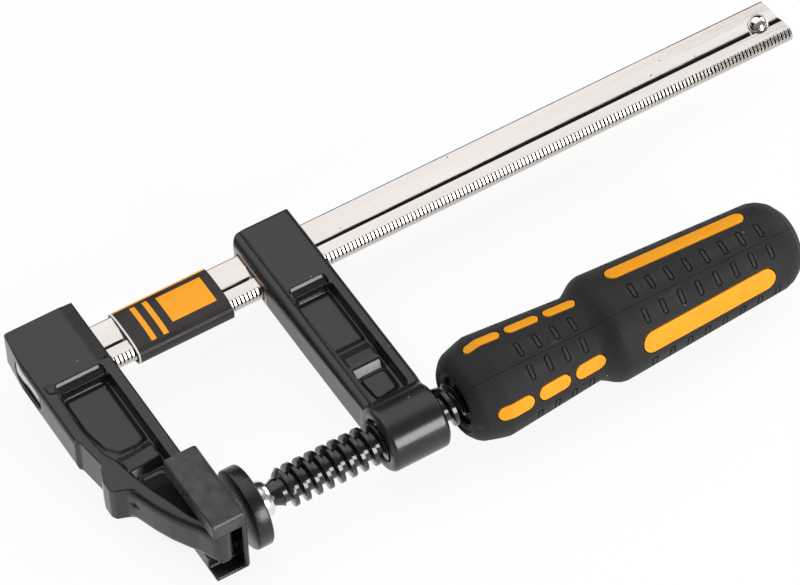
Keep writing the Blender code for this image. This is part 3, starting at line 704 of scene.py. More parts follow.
def groove(height):
    """The groove's line from its upper side to its lower one: two arcs that meet off its middle."""
    bottom = BAR_CENTRE_Y - GROOVE_SHIFT
    line = [(BAR_CENTRE_Y + GROOVE_HALF_WIDTH + FLAT_EDGE, height)]
    for side in (1, -1):
        width = GROOVE_HALF_WIDTH + side * GROOVE_SHIFT
        radius = (width**2 + GROOVE_DEPTH**2) / (2 * GROOVE_DEPTH)
        turn = side * degrees(asin(width / radius))
        ends = (270 + turn, 270) if side == 1 else (270, 270 + turn)
        line += arc((bottom, height - GROOVE_DEPTH + radius), radius, *ends, GROOVE_STEPS // 2)
    line.append((BAR_CENTRE_Y - GROOVE_HALF_WIDTH - FLAT_EDGE, height))
    return list(dict.fromkeys((round(y, 8), round(z, 8)) for y, z in line))


def bar_section():
    """The bar's section in YZ: round narrow edges and the shallow groove in both wide faces."""
    height = BAR_HALF_THICKNESS
    high = BAR_HIGH_ROUND
    top = arc((BAR_HIGH_Y - high, height - high), high, 0, 90)
    top.append((BAR_HIGH_Y - high - FLAT_EDGE, height))
    top += groove(height)
    top += [(DIMPLE_Y + DIMPLE_HALF, height), (DIMPLE_Y, height), (DIMPLE_Y - DIMPLE_HALF / 2, height)]
    top += [(BAR_LOW_Y + along, height - drop) for along, drop in BAR_LOW_EDGE]
    return top + [(BAR_LOW_Y, 0)] + [(y, -z) for y, z in reversed(top)]


def notch_bar(obj, x, depth):
    """Pushes the bar's section at x in along both narrow edges, and at the dimple beside them."""
    for vertex in obj.data.vertices:
        if not near(vertex.co.x, x):
            continue
        side = abs(vertex.co.z) / BAR_HALF_THICKNESS
        if near(vertex.co.y, DIMPLE_Y):
            vertex.co.z *= 1 - depth * DIMPLE_DEPTH / BAR_HALF_THICKNESS
        elif vertex.co.y < BAR_LOW_Y + TOOTH_REACH:
            share = TOOTH_FLAT_SHARE + (1 - TOOTH_FLAT_SHARE) * min(1, 2 * side)
            vertex.co.y += depth * TOOTH_DEPTH * share
            vertex.co.z *= 1 - depth * TOOTH_DEPTH * share * side / BAR_HALF_THICKNESS / 2
        elif vertex.co.y > BAR_HIGH_Y - HIGH_TOOTH_REACH:
            vertex.co.y -= depth * HIGH_TOOTH_DEPTH


def bar():
    made = ring("grooved_bar", [(BAR_START_X, y, z) for y, z in bar_section()])
    last = 0
    for share, _ in TOOTH_LINE:
        with editing(made):
            pick(made, "verts", lambda vertex: near(vertex.co.x, BAR_START_X + last * TOOTH_PITCH))
            step = ((share - last) * TOOTH_PITCH, 0, 0)
            bpy.ops.mesh.extrude_region_move(TRANSFORM_OT_translate={"value": step})
        last = share
    for share, depth in TOOTH_LINE:
        notch_bar(made, BAR_START_X + share * TOOTH_PITCH, depth)
    pitch = {"use_relative_offset": False, "constant_offset_displace": (TOOTH_PITCH, 0, 0)}
    weld = {"use_merge_vertices": True, "merge_threshold": WELD_DISTANCE}
    modify(made, "ARRAY", count=BAR_PITCHES, use_constant_offset=True, **pitch, **weld)
    with editing(made):
        pick(made, "verts", lambda vertex: near(vertex.co.x, BAR_START_X))
        bpy.ops.mesh.edge_face_add()
        slant = BAR_END_SLANT / (BAR_HIGH_Y - BAR_LOW_Y)
        crop((BAR_END_X, BAR_LOW_Y, 0), (1, slant, 0), clear_outer=True)
    tidy_normals(made)
    hole = box_points(-BAR_HALF_THICKNESS, OVERRUN, 0, BALL_HOLE_RADIUS)
    cut(made, seated("ball_hole", hole))
    smooth_shading(made, BAR_SMOOTH_ANGLE)
    dressed(made, ZINC, "rail", "bright_steel", "rail_bar")


def seated(name, profile):
    """A piece spun about X, turned so that its +X end points up and moved to the ball's seat."""
    made = turned(name, profile, FINE_STEPS)
    for vertex in made.data.vertices:
        x, y, z = vertex.co
        vertex.co = (BALL_X - z, BAR_CENTRE_Y + y, BAR_HALF_THICKNESS + x)
    return made


def stop_ball():
    """The ball pressed into the groove: a dome with a rolled foot in its hole."""
    profile = arc((0, 0), BALL_RADIUS, 0, 90, BALL_STEPS)
    profile += [(-BALL_RADIUS * down, BALL_RADIUS * out) for down, out in BALL_FOOT]
    made = seated("stop_ball_dome", profile)
    smooth_shading(made)
    dressed(made, POLISHED, "rail", "polished_steel", "stop_ball")


# Label sleeve

SLEEVE_X = (0.0042, 0.0292)
SLEEVE_HALF_WIDTH = 0.0074
SLEEVE_HALF_HEIGHT = 0.00305
SLEEVE_WALL = 0.0003
SLEEVE_SQUARENESS = 3


def oval(half_width, half_height):
    """A rounded oval about the bar, squarer than an ellipse."""
    points = []
    for i in range(FINE_STEPS):
        turn = 2 * pi * i / FINE_STEPS
        total = abs(cos(turn)) ** SLEEVE_SQUARENESS + abs(sin(turn)) ** SLEEVE_SQUARENESS
        reach = total ** (-1 / SLEEVE_SQUARENESS)
        points.append((BAR_CENTRE_Y + half_width * reach * cos(turn), half_height * reach * sin(turn)))
    return points


def label_sleeve():
    made = plate("label_wrap", oval(SLEEVE_HALF_WIDTH, SLEEVE_HALF_HEIGHT), *SLEEVE_X, "YZ")
    inner = oval(SLEEVE_HALF_WIDTH - SLEEVE_WALL, SLEEVE_HALF_HEIGHT - SLEEVE_WALL)
    cut(made, plate("sleeve_hollow", inner, SLEEVE_X[0] - OVERRUN, SLEEVE_X[1] + OVERRUN, "YZ"))
    smooth_shading(made)
    dressed(made, SLEEVE_FILM, "rail", "label_film", "label_sleeve")


# Castings

JAW_OUTLINE = (
    (-0.0023, 0.00113), (-0.0029, -0.0056), (-0.0036, -0.0069), (-0.0048, -0.0075), (-0.0065, -0.0074),
    (-0.00745, -0.00685), (-0.0081, -0.006), (-0.00863, -0.0048), (-0.00967, -0.00244),
    (-0.01109, -0.00031), (-0.01339, 0.00371), (-0.0153, 0.00808), (-0.017, 0.01303), (-0.01799, 0.01498),
    (-0.0205, 0.0159), (-0.0212, 0.01711), (-0.0212, 0.01993), (-0.0202, 0.02269), (-0.0192, 0.02401),
    (-0.02029, 0.032), (-0.0212, 0.03304), (-0.0212, 0.05805), (-0.02001, 0.0685), (-0.0023, 0.0685),
)
JAW_POCKET = (
    (-0.005, -0.00399), (-0.00703, -0.00399), (-0.0075, -0.00221), (-0.00929, 0.00118),
    (-0.0106, 0.00538), (-0.01309, 0.01263), (-0.0146, 0.0178), (-0.0156, 0.02309), (-0.0171, 0.02643),
    (-0.0181, 0.03505), (-0.01783, 0.043),
)
JAW_PANEL = (
    (-0.0059, 0.0269), (-0.0083, 0.0258), (-0.0134, 0.026), (-0.0159, 0.029), (-0.0174, 0.036),
    (-0.0173, 0.0462), (-0.0059, 0.0462),
)
JAW_LOWER_PANEL = (
    (-0.0078, 0.01265), (-0.0109, 0.0129), (-0.0129, 0.016), (-0.0129, 0.018), (-0.0066, 0.018),
    (-0.0066, 0.0143),
)
JAW_MARK = ((-0.0172, 0.0496), (-0.0196, 0.0504), (-0.0198, 0.0476), (-0.0175, 0.0471))
JAW_MARK_DEPTH = 0.00028
DENT_PROFILE = ((-0.0022, 0), (0, 0.0009), (0.0022, 0))
DENT_PLACE = (-0.0173, 0.0132, 0.0008)
DENT_TURN = radians(-60)
# The cross ribs' side lines, in YZ: steep and flat in front, where the light catches them
JAW_RIB = (
    (0.0174, 0), (0.0175, 0.0019), (0.018, 0.0022), (0.0196, 0.0042), (0.0204, 0.0044), (0.0234, 0.0041),
    (0.0254, 0.0021), (0.0256, 0),
)
ARM_RIB = (
    (0.015, 0), (0.0151, 0.0019), (0.0156, 0.0022), (0.0173, 0.0043), (0.0181, 0.0045), (0.0213, 0.0042),
    (0.0238, 0.0021), (0.024, 0),
)
# The pocket's lower end, which rises towards the jaw's back
JAW_RUN_OUT = ((-0.005, -0.0038), (-0.01, -0.001), (-0.015, 0.016), (-0.006, 0.016))
RUN_OUT_SLOPE = 0.26
RIB_STEPS = 5
JAW_RIB_BEND = 16
ARM_OUTLINE = (
    (0.03859, 0), (0.03824, 0.012), (0.03763, 0.05), (0.03763, 0.066), (0.05363, 0.066),
    (0.05363, 0.00813), (0.05323, 0),
)
ARM_POCKET = ((0.05094, 0.0066), (0.0423, 0.0066), (0.04169, 0.012), (0.04129, 0.028), (0.0409, 0.039))
ARM_PANEL = ((0.0503, 0.0245), (0.0413, 0.0245), (0.0409, 0.0415), (0.0503, 0.0415))
ARM_LOWER_PANEL = ((0.0494, 0.00885), (0.0433, 0.008), (0.0426, 0.0153), (0.0495, 0.0153))
POCKET_FLOOR = 0.0021
LEDGE_WIDTH = 0.0028
PANEL_TOP = 0.0028
PANEL_ROUND = 0.0012
PANEL_SLOPE = 0.0009
DRAFT = 0.00035
POCKET_ROUND = 0.0012
CASTING_ROUND = 0.0008
SWEEP_ROUND = 0.0022
CASTING_TOP_Y = 0.0700
CUT_TOP_Z = CASTING_HALF + OVERRUN
JAW_BACK_X = -0.0212
JAW_FRONT_X = -0.0023
# Where the rim stays sharp round the thumb knuckle and where the wide sweep is: ranges of x and of y
JAW_KNUCKLE = ((-FAR, -0.0175), (0.0148, 0.0245))
JAW_SWEEP = ((-FAR, -0.0070), (-FAR, 0.0150))
JAW_BACK_ROUND_Y = 0.0330
JAW_LEDGE_X = (-0.0174, -0.0053)
JAW_LEDGE_Y = 0.0491
JAW_RIB_X = (-0.0150, -0.0062)
# The slope beside the front edge: where it starts along X, its depth at the edge, and its lower end's y
JAW_FRONT_SLOPE = (-0.0058, 0.00045, 0.0500)
# Half the slot's height, and its corners' radius
JAW_SLOT = (0.0029, 0.0024)
ARM_SLOT = (0.0024, 0.0009)
ARM_BACK_X = 0.03763
ARM_FRONT_X = 0.05363
ARM_TOP_Y = 0.0660
ARM_CORNER_ROUND = 0.0033
ARM_LEDGE_X = (0.0412, 0.0507)
ARM_LEDGE_Y = 0.0444
ARM_RIB_X = (0.0400, 0.0496)
BOSS_LINE = (
    (0.05323, 0), (0.05323, 0.0073), (0.0525, 0.0081), (0.0391, 0.00813), (0.03823, 0.0073), (0.03823, 0),
)
BORE_LINE = (
    (0.055, 0), (0.055, 0.007), (0.0528, 0.0053), (0.0386, 0.0053), (0.0372, 0.0066), (0.0372, 0),
)
# From the arm's back, and down from its wide face
ARM_BACK_LINE = (
    (0, 0.0034), (0.0001, 0.0026), (0.0004, 0.0016), (0.0009, 0.00085), (0.0016, 0.0003),
    (0.0024, 0.00005), (0.0027, 0.0001), (0.0031, 0.00075), (0.0035, 0),
)
JAW_BACK_LINE = ((0, 0.0017), (0.00012, 0.0011), (0.00045, 0.00055), (0.001, 0.0002), (0.0017, 0))
# Down the pocket's upper end: steep, gentle, steep. Each is in from the pocket's edge and down from the face
LEDGE_LINE = ((0.0002, 0), (-0.0003, 0.0009), (-0.0021, 0.0018), (-0.0027, 0.0029), (-0.0028, 0.0032))


def on_rim(edge):
    """Whether an edge runs along the rim of one of a casting's two wide faces."""
    first, last = (vertex.co for vertex in edge.verts)
    return near(abs(first.z), CASTING_HALF) and near(first.z, last.z)


def rim_part(edge, x_range, y_range):
    """Whether an edge of the rim lies inside these ranges."""
    inside = (x_range[0] < v.co.x < x_range[1] and y_range[0] < v.co.y < y_range[1] for v in edge.verts)
    return on_rim(edge) and all(inside)


def pocket(outline, ledge_y):
    """Both sides of a pocket with sloping walls, as a tool: the outline, then straight up to its ledge."""
    top_y = ledge_y - LEDGE_WIDTH
    points = [(outline[0][0], top_y), *outline, (outline[-1][0], top_y)]
    tool = plate("pocket", rounded(points, POCKET_ROUND), CASTING_HALF, CUT_TOP_Z)
    taper(tool, CASTING_HALF, DRAFT, CASTING_HALF - POCKET_FLOOR)
    return mirrored(tool)


def pad_on_web(outline, draft=DRAFT):
    """A raised panel on both sides of the web between the pockets."""
    made = plate("panel", rounded(outline, PANEL_ROUND), 0, POCKET_FLOOR)
    taper(made, POCKET_FLOOR, draft, PANEL_TOP - POCKET_FLOOR)
    return mirrored(made)


def rib(side_line, x_range, bend=0):
    """A rib across the pockets, from its (y, z) side line, its right end bent up by this curvature."""
    made = plate("rib", side_line, *x_range, "YZ")
    first, last = x_range
    with editing(made):
        for step in range(1, RIB_STEPS):
            slice_all((first + (last - first) * step / RIB_STEPS, 0, 0), (1, 0, 0))
    for vertex in made.data.vertices:
        vertex.co.y += bend * (vertex.co.x - first) ** 2 / 2
    return mirrored(made)


def run_out():
    """Fills the web at the lower end of the jaw's pockets, higher and higher towards the back."""
    made = plate("run_out", JAW_RUN_OUT, 0, POCKET_FLOOR)
    for vertex in made.data.vertices:
        if vertex.co.z > 0:
            vertex.co.z -= RUN_OUT_SLOPE * (vertex.co.x - JAW_RUN_OUT[0][0])
    return mirrored(made)


def dent():
    """The small fold in the jaw's sweep below the thumb knuckle, as a tool."""
    made = turned("dent", DENT_PROFILE)
    made.location = DENT_PLACE
    made.rotation_euler = (0, 0, DENT_TURN)
    only(made)
    bpy.ops.object.transform_apply(location=True, rotation=True, scale=False)
    return made


def bar_slot(start_x, end_x, size):
    half_height, corner = size
    half = BAR_HALF_WIDTH + CLEARANCE
    points = box_points(BAR_CENTRE_Y - half, BAR_CENTRE_Y + half, -half_height, half_height)
    return plate("bar_slot", rounded(points, corner), start_x - OVERRUN, end_x + OVERRUN, "YZ")


def edge_wedge(start_x, drop, low_y, end_x):
    """Takes a shallow slope off both wide faces beside the casting's front edge, as a tool."""
    end_x += OVERRUN
    slope = [(start_x, CASTING_HALF), (end_x, CASTING_HALF - drop)]
    outline = [*slope, (end_x, CUT_TOP_Z), (start_x, CUT_TOP_Z)]
    return mirrored(plate("wedge", outline, low_y, CASTING_TOP_Y, "XZ"))


def back_rounding(x, side_line, low_y):
    """Leaves the wide round edges along a casting's back, which lies at this x, as a tool."""
    line = [(x + along, CASTING_HALF - drop) for along, drop in side_line]
    outline = [*line, (line[-1][0], CUT_TOP_Z), (x - OVERRUN, CUT_TOP_Z), (x - OVERRUN, line[0][1])]
    return mirrored(plate("rounding", outline, low_y, CASTING_TOP_Y, "XZ"))


def ledge(x_range, y):
    """The steps down into a pocket from its upper end at this y, as a tool."""
    line = [(y + along, CASTING_HALF - drop) for along, drop in LEDGE_LINE]
    outline = [(line[0][0], CUT_TOP_Z), *line, (line[-1][0], CUT_TOP_Z)]
    return mirrored(plate("ledge", outline, *x_range, "YZ"))


def pocketed(made, outline, ledge_x, ledge_y, panel, cross_rib):
    """Cuts a casting's pocket with its ledge, and sets the raised panel and the rib in it."""
    cut(made, ledge(ledge_x, ledge_y))
    cut(made, pocket(outline, ledge_y))
    add(made, pad_on_web(panel, PANEL_SLOPE))
    add(made, cross_rib)


def fixed_jaw():
    made = plate("jaw_casting", JAW_OUTLINE, -CASTING_HALF, CASTING_HALF)
    bevel_edges(made, lambda edge: rim_part(edge, *JAW_SWEEP), SWEEP_ROUND, WIDE_BEVEL_STEPS, False)
    bevel_edges(made, lambda edge: on_rim(edge) and not rim_part(edge, *JAW_KNUCKLE), CASTING_ROUND)
    cut(made, edge_wedge(*JAW_FRONT_SLOPE, JAW_FRONT_X))
    cut(made, back_rounding(JAW_BACK_X, JAW_BACK_LINE, JAW_BACK_ROUND_Y))
    cross_rib = rib(JAW_RIB, JAW_RIB_X, JAW_RIB_BEND)
    pocketed(made, JAW_POCKET, JAW_LEDGE_X, JAW_LEDGE_Y, JAW_PANEL, cross_rib)
    add(made, run_out())
    add(made, pad_on_web(JAW_LOWER_PANEL))
    cut(made, mirrored(plate("mark", JAW_MARK, CASTING_HALF - JAW_MARK_DEPTH, CUT_TOP_Z)))
    cut(made, dent())
    cut(made, bar_slot(JAW_BACK_X, JAW_FRONT_X, JAW_SLOT))
    cast_skin(made)
    dressed(made, JAW_PAINT, "rail", "black_paint", "fixed_jaw")


def at_arm_corner(edge):
    return all(near(v.co.x, ARM_BACK_X) and near(v.co.y, ARM_TOP_Y) for v in edge.verts)


def sliding_arm():
    made = plate("arm_casting", ARM_OUTLINE, -CASTING_HALF, CASTING_HALF)
    bevel_edges(made, at_arm_corner, ARM_CORNER_ROUND, WIDE_BEVEL_STEPS)
    bevel_edges(made, on_rim, CASTING_ROUND)
    cut(made, back_rounding(ARM_BACK_X, ARM_BACK_LINE, -OVERRUN))
    pocketed(made, ARM_POCKET, ARM_LEDGE_X, ARM_LEDGE_Y, ARM_PANEL, rib(ARM_RIB, ARM_RIB_X))
    add(made, pad_on_web(ARM_LOWER_PANEL))
    add(made, turned("boss", BOSS_LINE))
    cut(made, bar_slot(ARM_BACK_X, ARM_FRONT_X, ARM_SLOT))
    cut(made, turned("bore", BORE_LINE))
    cast_skin(made)
    dressed(made, ARM_PAINT, "arm", "black_paint", "sliding_arm")


# Cap on the fixed jaw

CAP_HALF = 0.0102
CAP_DEPTH = 0.0085
CAP_PLATE = 0.0012
CAP_LOW_Y = -0.0080
CAP_HIGH_Y = 0.0145
CAP_RECESS_Y = -0.0040
CAP_LIP = 0.0010
CAP_ROUND = 0.0010
CAP_EDGE = 0.00032
CAP_FLAT_EDGE = 0.0002
CAP_END_BEVEL = (0.00033, 0.00043)


def jaw_cap():
    inside = CASTING_HALF + CLEARANCE
    corner = CAP_HALF - CAP_ROUND
    beside = CAP_ROUND + CAP_FLAT_EDGE
    # The points beside the rounded corners keep the shading of the large faces flat
    outline = [(-CAP_DEPTH, CAP_HALF), (-beside, CAP_HALF)]
    outline += arc((-CAP_ROUND, corner), CAP_ROUND, 90, 0)
    outline += [(0, CAP_HALF - beside), (0, beside - CAP_HALF)]
    outline += arc((-CAP_ROUND, -corner), CAP_ROUND, 0, -90)
    outline += [(-beside, -CAP_HALF), (-CAP_DEPTH, -CAP_HALF), (-CAP_DEPTH, -inside), (-CAP_PLATE, -inside)]
    outline += [(-CAP_PLATE, inside), (-CAP_DEPTH, inside)]
    made = plate("jaw_cap_channel", outline, CAP_LOW_Y, CAP_HIGH_Y, "XZ")
    recess = box_points(-CAP_DEPTH - OVERRUN, -CAP_PLATE, CAP_LIP - CAP_HALF, OVERRUN - inside)
    cut(made, plate("recess", recess, CAP_LOW_Y - OVERRUN, CAP_RECESS_Y, "XZ"))
    soft_edges(made, CAP_EDGE, 1)
    along, down = CAP_END_BEVEL
    for side in (-1, 1):
        wedge = [(-along, -2 * down), (2 * along, down), (-along, down)]
        wedge = [(CAP_LOW_Y + y, side * (CAP_HALF + z)) for y, z in wedge]
        cut(made, plate("end_wedge", wedge, -CAP_DEPTH - OVERRUN, OVERRUN, "YZ"))
    smooth_shading(made)
    dressed(made, MOULDED_BLACK, "rail", "black_plastic", "fixed_jaw_cap")


# Swivel pad

PAD_FACE_X = 0.0021
PAD_BACK_X = 0.00572
PAD_RADIUS = 0.00987
PAD_INSIDE = 0.00867
PAD_FLOOR_X = 0.0034
PAD_ROUND = 0.0004
PAD_ROUND_STEPS = 3
SOCKET_CENTRE = (0.0070, 0)
SOCKET_RADIUS = 0.0029
# Where the socket's arc starts and ends, in degrees, and its steps
SOCKET_ARC = (180, 56, 14)
DISC_LINE = (
    (0.0097, 0.0024), (0.0098, 0.003), (0.0096, 0.0037), (0.009, 0.00425), (0.008, 0.0045),
    (0.0066, 0.0046), (0.0058, 0.0047), (0.0054, 0.0051), (0.0054, 0.0081), (0.0052, 0.00837),
    (0.0037, 0.00837), (0.0037, 0),
)


def pad_cup():
    outer = rounded([(PAD_FACE_X, 0), (PAD_FLOOR_X, 0), (PAD_FLOOR_X, PAD_INSIDE), (PAD_BACK_X, PAD_INSIDE),
                     (PAD_BACK_X, PAD_RADIUS), (PAD_FACE_X, PAD_RADIUS)], PAD_ROUND, PAD_ROUND_STEPS)
    made = turned("pad_cup", [(x, max(r, 0)) for x, r in outer])
    smooth_shading(made)
    dressed(made, PAD_BLACK, "pad", "black_plastic", "pad_cap")


def pad_disc():
    made = turned("pad_disc_and_socket", [*arc(SOCKET_CENTRE, SOCKET_RADIUS, *SOCKET_ARC), *DISC_LINE])
    smooth_shading(made)
    dressed(made, CRIMPED_ZINC, "pad", "bright_steel", "swivel_pad")


# Spindle

THREAD_PITCH = 0.0030
THREAD_START_X = 0.0117
THREAD_END_X = 0.0601
THREAD_ROOT = 0.00325
THREAD_RISE = 0.00175
THREAD_STEPS = 48
THREAD_TURNS = 20
THREAD_PHASE = 0.00067
THREAD_RUN_OUT = 0.0022
SPINDLE_END_X = 0.1001
SPINDLE_SMOOTH_ANGLE = radians(40)
# How far a face may lean and still count as square to the axis
SQUARE_SLACK = 0.001
# Along one pitch, and how high the thread stands there
THREAD_LINE = (
    (0, 0), (0.16, 0), (0.19, 0.01), (0.22, 0.08), (0.25, 0.25), (0.3, 0.8), (0.325, 0.95), (0.35, 1),
    (0.37, 1), (0.63, 1), (0.65, 1), (0.675, 0.95), (0.7, 0.8), (0.75, 0.25), (0.78, 0.08), (0.81, 0.01),
    (0.84, 0), (1, 0),
)
NOSE_LINE = (
    (0.00993, 0.0025), (0.00983, 0.0021), (0.00853, 0.0021), (0.008, 0.0024), (0.007, 0.0026),
    (0.006, 0.0024), (0.0053, 0.00196), (0.00475, 0.0013), (0.00445, 0.0006),
)


def thread():
    """The screw: one pitch of its side line wound along the axis, with run-outs, cut off square."""
    start = THREAD_START_X - 2 * THREAD_PITCH + THREAD_PHASE
    line = [(start + a * THREAD_PITCH, 0, THREAD_ROOT + height * THREAD_RISE) for a, height in THREAD_LINE]
    made = ring("threaded_spindle", line)
    with editing(made):
        pick(made, "edges", lambda edge: near(edge.calc_length(), THREAD_PITCH))
        bpy.ops.mesh.delete(type="EDGE")
    modify(made, "SCREW", axis="X", screw_offset=THREAD_PITCH, iterations=THREAD_TURNS, steps=THREAD_STEPS,
           render_steps=THREAD_STEPS, use_merge_vertices=False)
    tidy_normals(made)
    for vertex in made.data.vertices:
        radius = hypot(vertex.co.y, vertex.co.z)
        room = min(vertex.co.x - THREAD_START_X, THREAD_END_X - vertex.co.x) / THREAD_RUN_OUT
        share = (THREAD_ROOT + (radius - THREAD_ROOT) * min(max(room, 0), 1)) / radius
        vertex.co.y *= share
        vertex.co.z *= share
    with editing(made):
        crop((THREAD_START_X, 0, 0), (1, 0, 0), clear_inner=True)
        crop((THREAD_END_X, 0, 0), (1, 0, 0), clear_outer=True)
    return made


def is_end(face, x):
    """Whether a face lies square to the axis at this x."""
    return abs(face.normal.x) > 1 - SQUARE_SLACK and near(face.calc_center_median().x, x)


def draw_out(obj, x, line):
    """Draws the flat end face at x on through the (x, radius) points of a line."""
    radius = THREAD_ROOT
    with editing(obj):
        pick(obj, "faces", lambda face: is_end(face, x))
        for next_x, next_radius in line:
            bpy.ops.mesh.extrude_region_move(TRANSFORM_OT_translate={"value": (next_x - x, 0, 0)})
            share = next_radius / radius
            bpy.ops.transform.resize(value=(1, share, share), center_override=(next_x, 0, 0))
            x, radius = next_x, next_radius


def spindle():
    made = thread()
    draw_out(made, THREAD_START_X, NOSE_LINE)
    draw_out(made, THREAD_END_X, ((SPINDLE_END_X, THREAD_ROOT),))
    tidy_normals(made)
    smooth_shading(made, SPINDLE_SMOOTH_ANGLE)
    dressed(made, BLACK_STEEL, "spindle", "black_steel", "spindle")


# Handle

HANDLE_X = 0.05863
HANDLE_LENGTH = 0.0916
# Along the handle from its mouth, and its radius there
HANDLE_LINE = (
    (0, 0.0085), (0.0016, 0.01029), (0.00256, 0.01095), (0.0044, 0.0115), (0.00641, 0.01205),
    (0.00843, 0.0125), (0.03371, 0.01049), (0.03517, 0.0112), (0.0371, 0.0125), (0.03838, 0.0131),
    (0.03957, 0.0133), (0.084, 0.01095), (0.08601, 0.01035), (0.08803, 0.0091), (0.09004, 0.0065),
    (0.09096, 0.0041), (0.0916, 0),
)
HANDLE_TOP = 0.0133
HANDLE_ROUND = 0.0018
HANDLE_ROUND_STEPS = 4
HANDLE_STEP = 0.0022
GRIP_WALL = 0.0022
MOUTH_RADIUS = 0.0060
MOUTH_DEPTH = 0.0024
MOUTH_FLOOR = 0.0019
STRIPES = (
    (0.043, 0.0799, 0.0055), (0.0049, 0.0142, 0.0037), (0.01575, 0.02435, 0.0037),
    (0.0259, 0.0341, 0.0037),
)
WIDE_TURNS = (72, 252)
NARROW_TURNS = (-18, 162)
NARROW_SHARE = 0.70
SEAM_TURNS = (27, 117, 207, 297)
STADIUM_STEPS = 8
STRIPE_PROUD = 0.00012
SEAM_DEPTH = 0.00015
SEAM_HALF_WIDTH = 0.00012
OVAL_LENGTH = 0.0040
OVAL_WIDTH = 0.0015
OVAL_LINE = 0.00036
OVAL_DEPTH = 0.00045
OVAL_SPREAD = 14.5
# Both rows of oval marks: where each starts, its pitch and how many there are
OVAL_ROWS = ((0.01567, 0.00483, 4), (0.04587, 0.00495, 8))
SEAM_END = 0.0900
SEAM_TOP = 0.0150
MOUTH_LIP = ((0.0004, 0.0075), (0.0004, 0.0065), (0.0009, MOUTH_RADIUS))
# How far the sleeve's hollow and the core end before the handle's end wall
HOLLOW_SHORT = 0.0018
CORE_SHORT = 0.0021
INLAY_SIDE = (0.0020, 0.0860)
INLAY_EDGE = 0.00025
INLAY_EDGE_STEPS = 3


def soft_line(points):
    """An open line with its inner corners turned into arcs, and points close enough for smooth windows."""
    ends = [(points[-1][0], -FAR), (points[0][0], -FAR)]
    closed = rounded([*points, *ends], HANDLE_ROUND, HANDLE_ROUND_STEPS)
    points = [point for point in closed if point[1] >= 0]
    made = [points[0]]
    for (a, b), (c, d) in zip(points, points[1:]):
        count = max(1, round(hypot(c - a, d - b) / HANDLE_STEP))
        made += [(a + (c - a) * i / count, b + (d - b) * i / count) for i in range(1, count + 1)]
    return made


def handle_radius(along):
    for (a, r), (b, s) in zip(HANDLE_LINE, HANDLE_LINE[1:]):
        if along <= b:
            return r + (s - r) * (along - a) / (b - a)
    return 0


def side_line(start, end, inset):
    """The handle's side between two places, this far inside its surface."""
    places = [start, *(a for a, r in HANDLE_LINE if start < a < end), end]
    return [(HANDLE_X + a, handle_radius(a) - inset) for a in places]


def stadium(start, end, width, across=False):
    """A bar outline with round ends, along X or, as across says, square to it."""
    radius = width / 2
    points = arc((end - radius, 0), radius, -90, 90, STADIUM_STEPS)
    points += arc((start + radius, 0), radius, 90, 270, STADIUM_STEPS)
    if across:
        points = [(-b, a) for a, b in points]
    return points


def swung(obj, degrees_round):
    """A copy of a tool, turned about the spindle's axis. The angle goes from +Z towards -Y."""
    only(obj)
    bpy.ops.object.duplicate()
    copy = bpy.context.object
    turn = radians(degrees_round)
    for vertex in copy.data.vertices:
        x, y, z = vertex.co
        vertex.co = (x, *spun(y, z, turn))
    return copy


def all_round(name, pieces, turns):
    """One tool of the pieces, copied to each of these angles."""
    copies = [swung(piece, turn) for piece in pieces for turn in turns]
    for piece in pieces:
        bpy.data.objects.remove(piece)
    return merged(name, copies)


def stripe_blocks(name, margin):
    """Blocks that stand out from the axis, one for each orange inlay. Every second row is narrower."""
    rows = []
    for turns, share in ((WIDE_TURNS, 1), (NARROW_TURNS, NARROW_SHARE)):
        blocks = []
        for start, end, width in STRIPES:
            outline = stadium(HANDLE_X + start - margin, HANDLE_X + end + margin, width * share + 2 * margin)
            blocks.append(plate(name, outline, THREAD_ROOT + OVERRUN, HANDLE_TOP + OVERRUN))
        rows.append(all_round(name, blocks, turns))
    return merged(name, rows)


def oval_outline(place, inset):
    half = OVAL_LENGTH / 2 - inset
    return [(HANDLE_X + place + x, y) for x, y in stadium(-half, half, OVAL_WIDTH - 2 * inset, True)]


def oval_tools():
    ovals = []
    for place in (start + pitch * i for start, pitch, count in OVAL_ROWS for i in range(count)):
        radius = handle_radius(place)
        mark = plate("oval", oval_outline(place, 0), radius - OVAL_DEPTH, radius + OVERRUN)
        cut(mark, plate("island", oval_outline(place, OVAL_LINE), 0, radius + 2 * OVERRUN))
        ovals.append(mark)
    turns = [turn + side * OVAL_SPREAD for turn in SEAM_TURNS for side in (-1, 1)]
    return all_round("ovals", ovals, turns)


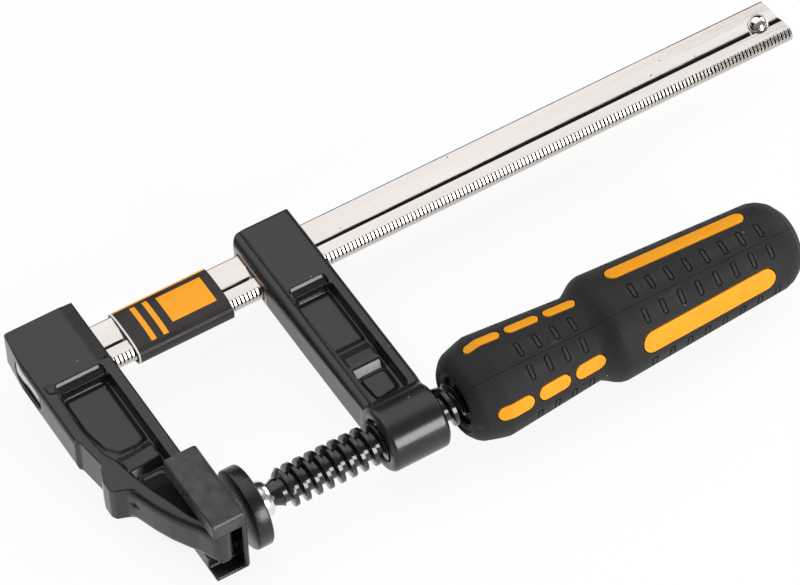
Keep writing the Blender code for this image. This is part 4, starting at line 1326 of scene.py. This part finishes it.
def seam_tools():
    line = side_line(0, SEAM_END, SEAM_DEPTH)
    outline = [*line, (line[-1][0], SEAM_TOP), (line[0][0], SEAM_TOP)]
    return all_round("seams", [plate("seam", outline, -SEAM_HALF_WIDTH, SEAM_HALF_WIDTH, "XZ")], SEAM_TURNS)


def grip():
    """The soft sleeve: spun, hollow, with the windows, the oval recesses and the moulding seams."""
    outer = soft_line([(HANDLE_X + a, r) for a, r in HANDLE_LINE])
    hollow = side_line(MOUTH_DEPTH, HANDLE_LENGTH - GRIP_WALL - HOLLOW_SHORT, GRIP_WALL)
    tail = THREAD_ROOT + CLEARANCE
    mouth = [*MOUTH_LIP, (MOUTH_FLOOR, MOUTH_RADIUS), (MOUTH_FLOOR, tail), (MOUTH_DEPTH, tail)]
    profile = [*reversed(outer), *((HANDLE_X + a, r) for a, r in mouth), *hollow, (hollow[-1][0], 0)]
    made = turned("grip_sleeve", profile)
    cut(made, stripe_blocks("windows", CLEARANCE))
    cut(made, oval_tools())
    cut(made, seam_tools())
    smooth_shading(made)
    dressed(made, GRIP_RUBBER, "spindle", "black_rubber", "handle_grip")


def core():
    """The stiff orange core with its raised inlays, which fill the sleeve's windows."""
    skin = soft_line(side_line(*INLAY_SIDE, -STRIPE_PROUD))
    inlays = stripe_blocks("inlay_blocks", 0)
    boolean(inlays, turned("inlay_skin", [*skin, (skin[-1][0], 0), (skin[0][0], 0)]), "INTERSECT")
    soft_edges(inlays, INLAY_EDGE, INLAY_EDGE_STEPS)
    side = side_line(MOUTH_DEPTH + CLEARANCE, HANDLE_LENGTH - GRIP_WALL - CORE_SHORT, GRIP_WALL + CLEARANCE)
    bore = THREAD_ROOT + CLEARANCE
    bottom = SPINDLE_END_X + CLEARANCE
    made = turned("orange_core", [*side, (side[-1][0], 0), (bottom, 0), (bottom, bore), (side[0][0], bore)])
    add(made, inlays)
    smooth_shading(made)
    dressed(made, ORANGE, "spindle", "orange_plastic", "handle_core")


studio()
bar()
stop_ball()
label_sleeve()
fixed_jaw()
sliding_arm()
jaw_cap()
pad_cup()
pad_disc()
spindle()
core()
grip()
